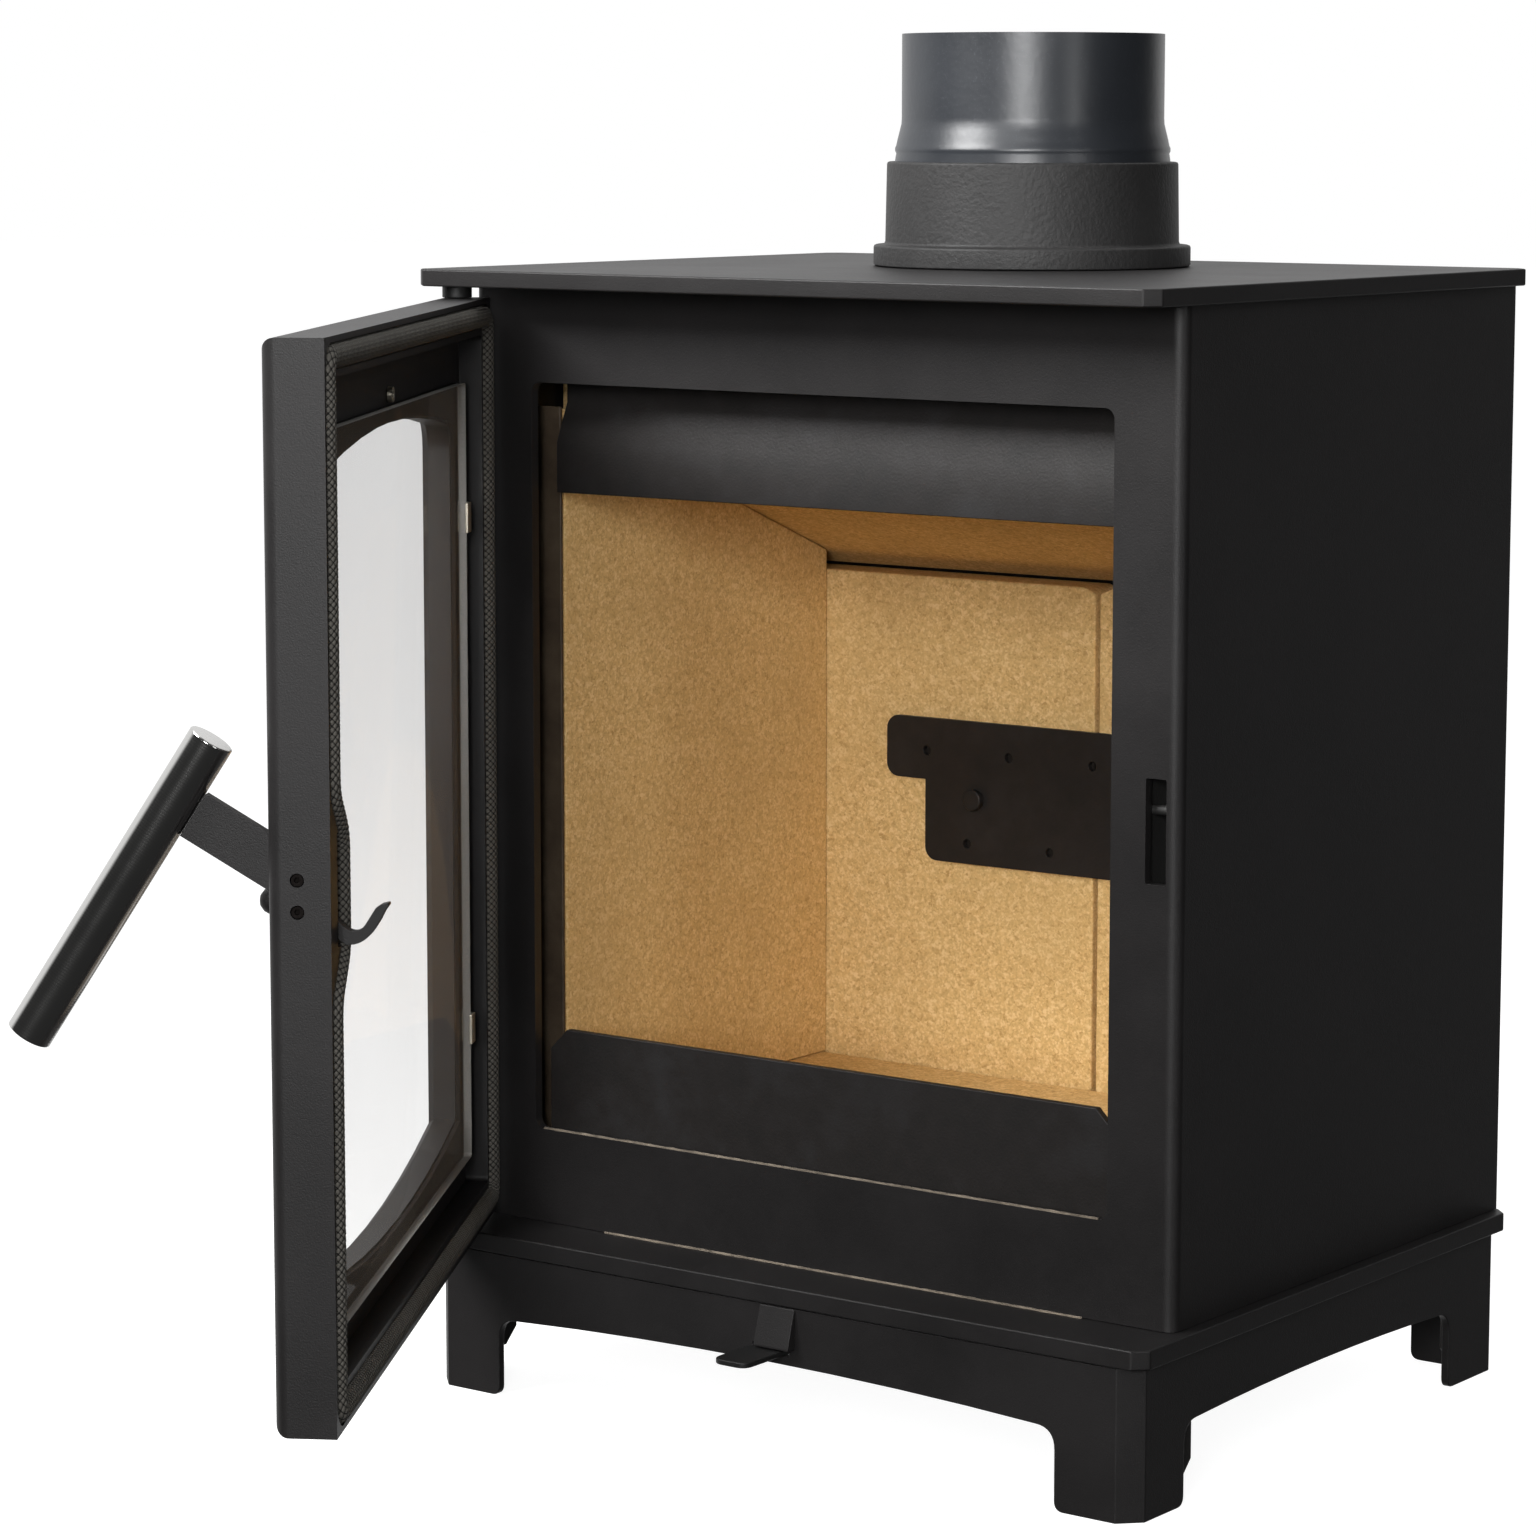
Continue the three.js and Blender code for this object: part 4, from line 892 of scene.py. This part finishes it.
@dataclass
class Carcass(SubAssembly):
    """Plates and body, with the keeper and hinge pins, the cement in the joints and a painted highlight
    along the sill.
    """

    plate_edge: float = 0.9 * MM
    sheet_edge: float = 0.6 * MM
    pin_edge: float = 0.4 * MM
    bead_radius: float = 0.8 * MM
    bead_span: tuple[float, float] = (-0.12, 0.151)
    sill_width: float = 1.7 * MM
    sill_inset: float = 1.0 * MM
    opening_half: float = 0.163
    opening_sill: float = 45.5 * MM
    glint_length: float = 4.4 * MM
    strip_cuts: int = 90

    def build(self) -> None:
        """Makes the body's pieces."""
        for node in ("base_plate", "top_plate"):
            self.refine(node, Body.STOVE, self.plate_edge, 3)
        for node in ("body_shell", "rear_plate"):
            self.refine(node, Body.STOVE, self.sheet_edge)
        for node in ("hinge_pin_lower", "hinge_pin_upper"):
            self.refine(node, Body.STOVE, self.pin_edge, 3, self.finishes.black_paint)
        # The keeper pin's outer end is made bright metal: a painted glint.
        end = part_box("latch_keeper")[1].x - self.glint_length
        keeper = KeeperWithPaintedGlint(end).material()
        self.refine("latch_keeper", Body.STOVE, self.pin_edge, 2, keeper)
        self.cement_bead()
        self.painted_sill_highlight()

    def strip(self, name: str, start: Vector, end: Vector, radius: float) -> bpy.types.Object:
        """A thin uneven bead from one point to another along X."""
        bpy.ops.object.select_all(action="DESELECT")
        bpy.ops.mesh.primitive_cylinder_add(
            vertices=12,
            radius=radius,
            depth=end.x - start.x,
            location=(start + end) / 2,
            rotation=(0, math.pi / 2, 0),
        )
        made = Bench.named(name)
        for cut in range(1, self.strip_cuts):
            Bench.edit()
            spot = start.lerp(end, cut / self.strip_cuts)
            bpy.ops.mesh.bisect(plane_co=spot, plane_no=(1, 0, 0), use_fill=False)
            Bench.leave()
        Bench.ruffle(made, 5 * MM, radius * 0.9)
        return made

    def cement_bead(self) -> None:
        """Cement squeezed from under the front plate."""
        low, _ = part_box("body_shell")
        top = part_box("base_plate")[1].z
        first, last = self.bead_span
        y = low.y - self.bead_radius * 0.3
        made = self.strip(
            "base_joint_cement", Vector((first, y, top)), Vector((last, y, top)), self.bead_radius
        )
        self.deliver(made, Body.STOVE, Slot.FIRE_BRICK, material=self.finishes.cement_and_sill_highlight)

    def painted_sill_highlight(self) -> None:
        """A pale strip along the upper edge of the opening's sill: a painted highlight where the sill's
        top face catches the light.
        """
        low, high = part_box("body_shell")
        middle = (low.x + high.x) / 2
        z = low.z + self.opening_sill
        half = self.opening_half - 5 * MM
        y = low.y + self.sill_inset
        # painted highlight: a pale strip on the sill's top face, in the cement's colour
        made = self.strip(
            "sill_painted_highlight",
            Vector((middle - half, y, z)),
            Vector((middle + half, y, z)),
            self.sill_width / 2,
        )
        self.deliver(made, Body.STOVE, Slot.FIRE_BRICK, material=self.finishes.cement_and_sill_highlight)


@dataclass
class Flue(SubAssembly):
    """Cast collar and the swaged end of the flue pipe, both turned smooth."""

    wall: float = 2.0 * MM
    swage_low: float = 589 * MM
    swage_high: float = 604 * MM
    swage_growth: float = 3.1 * MM
    bead_height: float = 591.5 * MM
    bead_rise: float = 0.9 * MM
    flange: float = 10 * MM
    flange_growth: float = 5.6 * MM
    taper: float = 0.7 * MM
    lip: float = 1.2 * MM

    def build(self) -> None:
        """Makes the flue's pieces."""
        self.pipe()
        self.collar()

    def centre(self) -> Vector:
        """The foot of the flue's axis."""
        low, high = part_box("flue_collar")
        return Vector(((low.x + high.x) / 2, (low.y + high.y) / 2, 0))

    def pipe(self) -> None:
        """Pipe with its swaged foot and a rolled bead."""
        low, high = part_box("flue_pipe")
        socket = (high.x - low.x) / 2
        narrow = socket - self.swage_growth
        bead = self.bead_height
        swell = [
            (narrow, high.z),
            (narrow, self.swage_high + 3 * MM),
            (narrow + 0.15 * MM, self.swage_high),
            (narrow + 1.0 * MM, self.swage_high - 3.5 * MM),
            (narrow + 2.0 * MM, self.swage_high - 7.5 * MM),
            (socket - 0.5 * MM, bead + 2.2 * MM),
            (socket - 0.5 * MM + self.bead_rise * 0.6, bead + 1 * MM),
            (socket - 0.5 * MM + self.bead_rise * 0.6, bead - 0.4 * MM),
            (socket - 0.5 * MM, bead - 1.6 * MM),
            (socket, self.swage_low - 2 * MM),
            (socket, low.z),
        ]
        inner = [(radius - self.wall, height) for radius, height in reversed(swell)]
        made = Bench.lathe("flue_pipe_turned", [*swell, *inner], self.centre(), 160)
        self.deliver(made, Body.STOVE, Slot.ENAMEL, ["flue_pipe"])

    def collar(self) -> None:
        """Cast collar with a softened flange, a fillet at its foot and a rounded lip."""
        low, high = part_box("flue_collar")
        foot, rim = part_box("flue_pipe")
        flange = (high.x - low.x) / 2
        outer = flange - self.flange_growth
        bore = (rim.x - foot.x) / 2 + 0.6 * MM
        ledge = bore - 5 * MM
        pipe_foot = foot.z - 0.3 * MM
        top = low.z + self.flange
        lip = self.lip
        outline = [
            (ledge, low.z),
            (flange - 0.8 * MM, low.z),
            (flange, low.z + 0.8 * MM),
            (flange, top - lip),
            (flange - lip * 0.3, top - lip * 0.3),
            (flange - lip, top),
            (outer + 1.6 * MM, top),
            (outer + 0.5 * MM, top + 0.5 * MM),
            (outer, top + 1.6 * MM),
            (outer - self.taper, high.z - lip),
            (outer - self.taper - lip * 0.3, high.z - lip * 0.3),
            (outer - self.taper - lip, high.z),
            (bore + 0.5 * MM, high.z),
            (bore, high.z - 0.5 * MM),
            (bore, pipe_foot),
            (ledge, pipe_foot),
        ]
        made = Bench.lathe("flue_collar_turned", outline, self.centre(), 160)
        self.deliver(made, Body.STOVE, Slot.CAST_IRON, ["flue_collar"])


@dataclass
class Lining(SubAssembly):
    """Vermiculite bricks, the secondary air plate, the air-wash deflector and the log fence."""

    brick_edge: float = 1.3 * MM
    sheet_edge: float = 0.5 * MM
    bolt_edge: float = 0.9 * MM

    def build(self) -> None:
        """Makes the lining's pieces."""
        bricks = ["hearth_brick", "baffle_brick"]
        bricks += [f"{kind}_brick_{side}" for kind in ("side", "back") for side in ("left", "right")]
        for node in bricks:
            self.refine(node, Body.STOVE, self.brick_edge, 3)
        for node in ("secondary_air_plate", "air_wash_deflector", "log_fence"):
            self.refine(node, Body.STOVE, self.sheet_edge)
        for side in ("left", "right"):
            # The retainers take a brown-black painted shade, the tone of the shaded brick fronts beside
            # them.
            node = f"brick_retainer_{side}"
            self.refine(node, Body.STOVE, self.sheet_edge, 2, self.finishes.shaded_brick_brown_steel)
        for side in ("left", "right"):
            self.refine(f"air_plate_bolt_{side}", Body.STOVE, self.bolt_edge, 3)


@dataclass
class Door(SubAssembly):
    """Cast door with its glass, clips, sealing rope, screws and latch boss."""

    casting_edge: float = 0.7 * MM
    rope_width: float = 11.1 * MM
    knit_rise: float = 0.16 * MM
    dent_depth: float = 18.3 * MM
    dent_below: float = 43.9 * MM
    dent_above: float = 39.9 * MM
    corner: float = 7 * MM
    sides: int = 36
    ring_gap: float = 0.8 * MM
    gasket_edge: float = 0.3 * MM
    glass_edge: float = 0.4 * MM
    clip_edge: float = 0.35 * MM
    screw_edge: float = 0.25 * MM
    pin_edge: float = 0.3 * MM

    def build(self) -> None:
        """Makes the door's pieces."""
        self.refine("door_casting", Body.DOOR, self.casting_edge)
        self.refine("glass_gasket", Body.DOOR, self.gasket_edge, 2, self.finishes.gasket)
        self.glass()
        self.rope()
        for side in ("left", "right"):
            for height in ("upper", "lower"):
                self.refine(f"glass_clip_{height}_{side}", Body.DOOR, self.clip_edge, 3)
        for height in ("upper", "lower"):
            # The edge screws take the near-black tape finish so that they read as dark holes: painted
            # shade.
            node = f"edge_screw_{height}"
            self.refine(node, Body.DOOR, self.screw_edge, 2, self.finishes.gasket)
        self.refine("latch_dome_bolt", Body.DOOR, self.pin_edge, 2)
        self.refine("handle_pivot_pin", Body.DOOR, self.pin_edge, 2)
        self.panel_screws()

    def glass(self) -> None:
        """The pane, clear on its faces and ground along its edge."""
        made = Bench.copy_of(self.frame.nodes["door_glass"], "door_glass_pane")
        Bench.soften(made, self.glass_edge, 2)
        bpy.ops.object.shade_flat()
        facing = self.frame.swing.to_3x3() @ Vector((0, 1, 0))
        made.data.materials.append(self.finishes.by_slot[Slot.STOVE_GLASS])
        made.data.materials.append(self.finishes.ground_edge)
        for polygon in made.data.polygons:
            polygon.material_index = 0 if abs(polygon.normal.dot(facing)) > 0.9 else 1
        self.deliver(made, Body.DOOR, Slot.STOVE_GLASS, ["door_glass"])

    def rope_line(self) -> list[Vector]:
        """Corners of the rope's centre line with the door shut, anticlockwise from the lower left."""
        low, high = self.frame.shut_box("door_rope")
        pivot = self.frame.point("handle_pivot").z
        half = self.rope_width / 2
        left, right = low.x + half, high.x - half
        bottom, top = low.z + half, high.z - half
        y = high.y - half
        dent, below, above = self.dent_depth, pivot - self.dent_below, pivot + self.dent_above
        corners = [
            (left, bottom),
            (right, bottom),
            (right, below),
            (right - dent, below + dent),
            (right - dent, above - dent),
            (right, above),
            (right, top),
            (left, top),
        ]
        return [Vector((x, y, z)) for x, z in corners]

    def eased(self, corners: Sequence[Vector]) -> list[Vector]:
        """A closed line through corners, each one eased into a short curve."""
        line = []
        count = len(corners)
        for i, corner in enumerate(corners):
            before, after = corners[i - 1], corners[(i + 1) % count]
            entry = corner + (before - corner).normalized() * self.corner
            leave = corner + (after - corner).normalized() * self.corner
            for step in range(9):
                t = step / 8
                line.append(entry.lerp(corner, t).lerp(corner.lerp(leave, t), t))
        return line

    def spaced(self, line: Sequence[Vector]) -> list[Vector]:
        """The same closed line, with points at an even distance."""
        closed = [*line, line[0]]
        lengths = [(b - a).length for a, b in zip(closed, closed[1:])]
        total = sum(lengths)
        count = round(total / self.ring_gap)
        points, index, passed = [], 0, 0.0
        for i in range(count):
            target = total * i / count
            while passed + lengths[index] < target:
                passed += lengths[index]
                index += 1
            share = (target - passed) / lengths[index]
            points.append(closed[index].lerp(closed[index + 1], share))
        return points

    def rope(self) -> None:
        """Knitted sealing rope, swept along its groove with the stitches standing in relief."""
        points = self.spaced(self.eased(self.rope_line()))
        count, sides = len(points), self.sides
        radius = self.rope_width / 2 - self.knit_rise
        stitch, rows = KnittedRope.stitch, KnittedRope.rows
        vertices, faces = [], []
        for i, point in enumerate(points):
            along = (points[(i + 1) % count] - points[i - 1]).normalized()
            inward = along.cross(Vector((0, 1, 0)))
            for k in range(sides):
                angle = 2 * math.pi * k / sides
                turn = 2 * math.pi * i * self.ring_gap / stitch
                knit = math.sin((turn + rows * angle) / 2) * math.sin((turn - rows * angle) / 2)
                reach = radius + self.knit_rise * (2 * abs(knit) - 1)
                aside = inward * math.cos(angle) + Vector((0, math.sin(angle), 0))
                vertices.append(point + aside * reach)
        for i in range(count):
            ahead = (i + 1) % count
            for k in range(sides):
                side = (k + 1) % sides
                faces.append(
                    (i * sides + k, i * sides + side, ahead * sides + side, ahead * sides + k)
                )
        mesh = bpy.data.meshes.new("door_rope_knitted")
        mesh.from_pydata(vertices, [], faces)
        layer = mesh.uv_layers.new(name="stitches")
        for polygon in mesh.polygons:
            i, k = divmod(polygon.index, sides)
            corners = ((i, k), (i, k + 1), (i + 1, k + 1), (i + 1, k))
            for loop, (ring, side) in zip(polygon.loop_indices, corners):
                layer.data[loop].uv = (ring * self.ring_gap, side / sides)
        made = bpy.data.objects.new("door_rope_knitted", mesh)
        bpy.context.scene.collection.objects.link(made)
        mesh.transform(self.frame.swing)
        Bench.take(made)
        Bench.edit()
        bpy.ops.mesh.normals_make_consistent(inside=False)
        Bench.leave()
        bpy.ops.object.shade_smooth()
        self.deliver(made, Body.DOOR, Slot.ROPE, ["door_rope"])

    def screw(self, name: str, seat: Vector, radius: float, height: float) -> bpy.types.Object:
        """A pan-head screw that stands on a face towards +Y with the door shut.

        Args:
            name: the screw's name.
            seat: the middle of its underside.
            radius: of its head.
            height: of its head.

        Returns:
            The screw, at its place on the open door.
        """
        bpy.ops.object.select_all(action="DESELECT")
        bpy.ops.mesh.primitive_cylinder_add(
            vertices=32,
            radius=radius,
            depth=height,
            location=seat + Vector((0, height / 2, 0)),
            rotation=(-math.pi / 2, 0, 0),
        )
        made = Bench.named(name)
        top = seat.y + height
        Bench.pick_faces(made, lambda face: face.center.y > top - 0.01 * MM)
        bpy.ops.object.mode_set(mode="EDIT")
        bpy.ops.mesh.inset(thickness=radius * 0.5)
        bpy.ops.mesh.inset(thickness=radius * 0.04)
        bpy.ops.mesh.extrude_region_move(
            TRANSFORM_OT_translate={"value": (0, -height * 0.45, 0)}
        )
        Bench.leave()
        Bench.soften(made, height * 0.3, 4, 50)
        made.data.transform(self.frame.swing)
        return made

    def panel_screws(self) -> None:
        """The screw above the glass."""
        low, high = self.frame.shut_box("door_screw_top")
        middle = (low + high) / 2
        seat = Vector((middle.x, low.y, middle.z))
        made = self.screw("door_screw_head", seat, (high.x - low.x) / 2, high.y - low.y)
        self.deliver(made, Body.DOOR, Slot.PLATED_STEEL, ["door_screw_top"])


@dataclass
class Handle(SubAssembly):
    """Lift-up latch lever and the polished bar on its outer end."""

    lever_edge: float = 0.5 * MM
    bar_edge: float = 0.7 * MM
    facets: int = 96

    def build(self) -> None:
        """Makes the handle's pieces."""
        self.refine("latch_lever", Body.HANDLE, self.lever_edge, 3, self.finishes.paint)
        self.bar()

    def bar(self) -> None:
        """Solid polished bar with crisply broken ends."""
        low, high = self.frame.shut_box("handle_bar", self.frame.tilt)
        bpy.ops.object.select_all(action="DESELECT")
        bpy.ops.mesh.primitive_cylinder_add(
            vertices=self.facets,
            radius=(high.x - low.x) / 2,
            depth=high.z - low.z,
            location=(low + high) / 2,
        )
        made = Bench.named("handle_bar_polished")
        ends = (low.z + 0.01 * MM, high.z - 0.01 * MM)
        Bench.pick_faces(made, lambda face: not ends[0] < face.center.z < ends[1])
        bpy.ops.object.mode_set(mode="EDIT")
        bpy.ops.mesh.bevel(offset=self.bar_edge, segments=4, affect="EDGES")
        Bench.leave()
        layer = made.data.uv_layers.active
        for loop in made.data.loops:
            spot = made.data.vertices[loop.vertex_index].co
            angle = math.atan2(spot.y - (low.y + high.y) / 2, spot.x - (low.x + high.x) / 2)
            layer.data[loop.index].uv = (spot.z - low.z, angle / (2 * math.pi) + 0.5)
        Bench.settle_shading(made)
        made.data.transform(self.frame.tilt)
        self.deliver(made, Body.HANDLE, Slot.STAINLESS, ["handle_bar"])


# ---------------------------------------------------------------- the studio


@dataclass(frozen=True)
class SoftBox:
    """An area light that stands at an angle round the stove."""

    name: str
    azimuth: float
    elevation: float
    distance: float
    width: float
    height: float
    power: float

    def hang(self, target: Vector) -> None:
        """Adds the light, aimed at a point.

        Args:
            target: what it lights; azimuth 0 is in front of the door and grows towards +X.
        """
        data = bpy.data.lights.new(self.name, "AREA")
        data.shape = "RECTANGLE"
        data.size = self.width
        data.size_y = self.height
        data.energy = self.power
        lamp = bpy.data.objects.new(self.name, data)
        turn, rise = math.radians(self.azimuth), math.radians(self.elevation)
        flat = math.cos(rise) * self.distance
        offset = Vector((math.sin(turn) * flat, -math.cos(turn) * flat, math.sin(rise) * self.distance))
        lamp.location = target + offset
        lamp.rotation_mode = "QUATERNION"
        lamp.rotation_quaternion = (-offset).to_track_quat("-Z", "Y")
        bpy.context.scene.collection.objects.link(lamp)


@dataclass
class Studio:
    """Floor, lights, surroundings and camera."""

    frame: Frame
    floor_size: float = 30.0
    lens: float = 110.91
    shift: tuple[float, float] = (-0.02283, -0.016035)
    eye: tuple[float, float, float] = (1.4574, -1.7061, 0.31)
    yaw: float = 36.332
    pitch: float = 7.613
    roll: float = 0.077
    dark_side: float = 0.03
    bright_side: float = 1.1
    bright_toward: tuple[float, float, float] = (-0.8, 0.6, 0.0)
    dark_until: float = 0.2
    bright_from: float = 0.62
    boxes: tuple[SoftBox, ...] = (
        SoftBox("key_light", -30, 46, 1.45, 0.7, 0.7, 38),
        SoftBox("front_fill", 27, 14, 3.2, 1.0, 1.0, 76),
        SoftBox("right_strip", 74, 9, 2.6, 0.25, 1.6, 8),
        SoftBox("top_light", 200, 72, 2.6, 2.0, 1.6, 26),
    )

    def build(self) -> None:
        """Sets the studio up."""
        self.floor()
        self.surroundings()
        middle = Vector((0, 0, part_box("top_plate")[0].z / 2))
        for box in self.boxes:
            box.hang(middle)
        self.camera()
        bpy.context.scene.view_settings.view_transform = "Standard"

    def floor(self) -> None:
        """A wide pale floor."""
        bpy.ops.object.select_all(action="DESELECT")
        bpy.ops.mesh.primitive_plane_add(size=self.floor_size)
        made = Bench.named("floor")
        made.data.materials.append(StudioFloor().material())
        made.visible_glossy = False
        made.visible_diffuse = False

    def surroundings(self) -> None:
        """A surround that shows white and lights the stove dimly, but for the side behind on its left."""
        world = bpy.data.worlds.new("surround")
        bpy.context.scene.world = world
        world.use_nodes = True
        nodes, links = world.node_tree.nodes, world.node_tree.links
        shown = nodes["Background"]
        shown.inputs["Strength"].default_value = 1.0
        shown.inputs["Color"].default_value = (1.0, 1.0, 1.0, 1.0)
        lit = nodes.new("ShaderNodeBackground")
        sky = nodes.new("ShaderNodeTexCoord")
        toward = nodes.new("ShaderNodeVectorMath")
        toward.operation = "DOT_PRODUCT"
        toward.inputs[1].default_value = self.bright_toward
        slope = nodes.new("ShaderNodeMapRange")
        slope.interpolation_type = "SMOOTHSTEP"
        for name, value in {
            "From Min": self.dark_until,
            "From Max": self.bright_from,
            "To Min": self.dark_side,
            "To Max": self.bright_side,
        }.items():
            slope.inputs[name].default_value = value
        links.new(sky.outputs["Generated"], toward.inputs[0])
        links.new(toward.outputs["Value"], slope.inputs["Value"])
        links.new(slope.outputs[0], lit.inputs["Strength"])
        path = nodes.new("ShaderNodeLightPath")
        pick = nodes.new("ShaderNodeMixShader")
        links.new(path.outputs["Is Camera Ray"], pick.inputs[0])
        links.new(lit.outputs[0], pick.inputs[1])
        links.new(shown.outputs[0], pick.inputs[2])
        links.new(pick.outputs[0], nodes["World Output"].inputs["Surface"])

    def camera(self) -> None:
        """The camera, placed from the door's hinge."""
        data = bpy.data.cameras.new("camera")
        data.sensor_width = 36
        data.lens = self.lens
        data.shift_x, data.shift_y = self.shift
        camera = bpy.data.objects.new("camera", data)
        yaw, pitch, roll = (math.radians(v) for v in (self.yaw, self.pitch, self.roll))
        ahead = Vector(
            (-math.sin(yaw) * math.cos(pitch), math.cos(yaw) * math.cos(pitch), -math.sin(pitch))
        )
        camera.location = self.frame.point("door_hinge") + Vector(self.eye)
        camera.rotation_mode = "QUATERNION"
        level = ahead.to_track_quat("-Z", "Y")
        camera.rotation_quaternion = level @ Quaternion((0, 0, 1), roll)
        bpy.context.scene.collection.objects.link(camera)
        bpy.context.scene.camera = camera


def main() -> None:
    """Builds every sub-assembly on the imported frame."""
    logging.basicConfig(level=logging.INFO, format="%(name)s: %(message)s")
    frame = Frame(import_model())
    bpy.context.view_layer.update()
    finishes = FinishStore()
    for assembly in (Plinth, Carcass, Flue, Lining, Door, Handle):
        log.info("building the %s", assembly.__name__.lower())
        assembly(frame, finishes).build()
    Studio(frame).build()


if __name__ == "__main__":
    main()
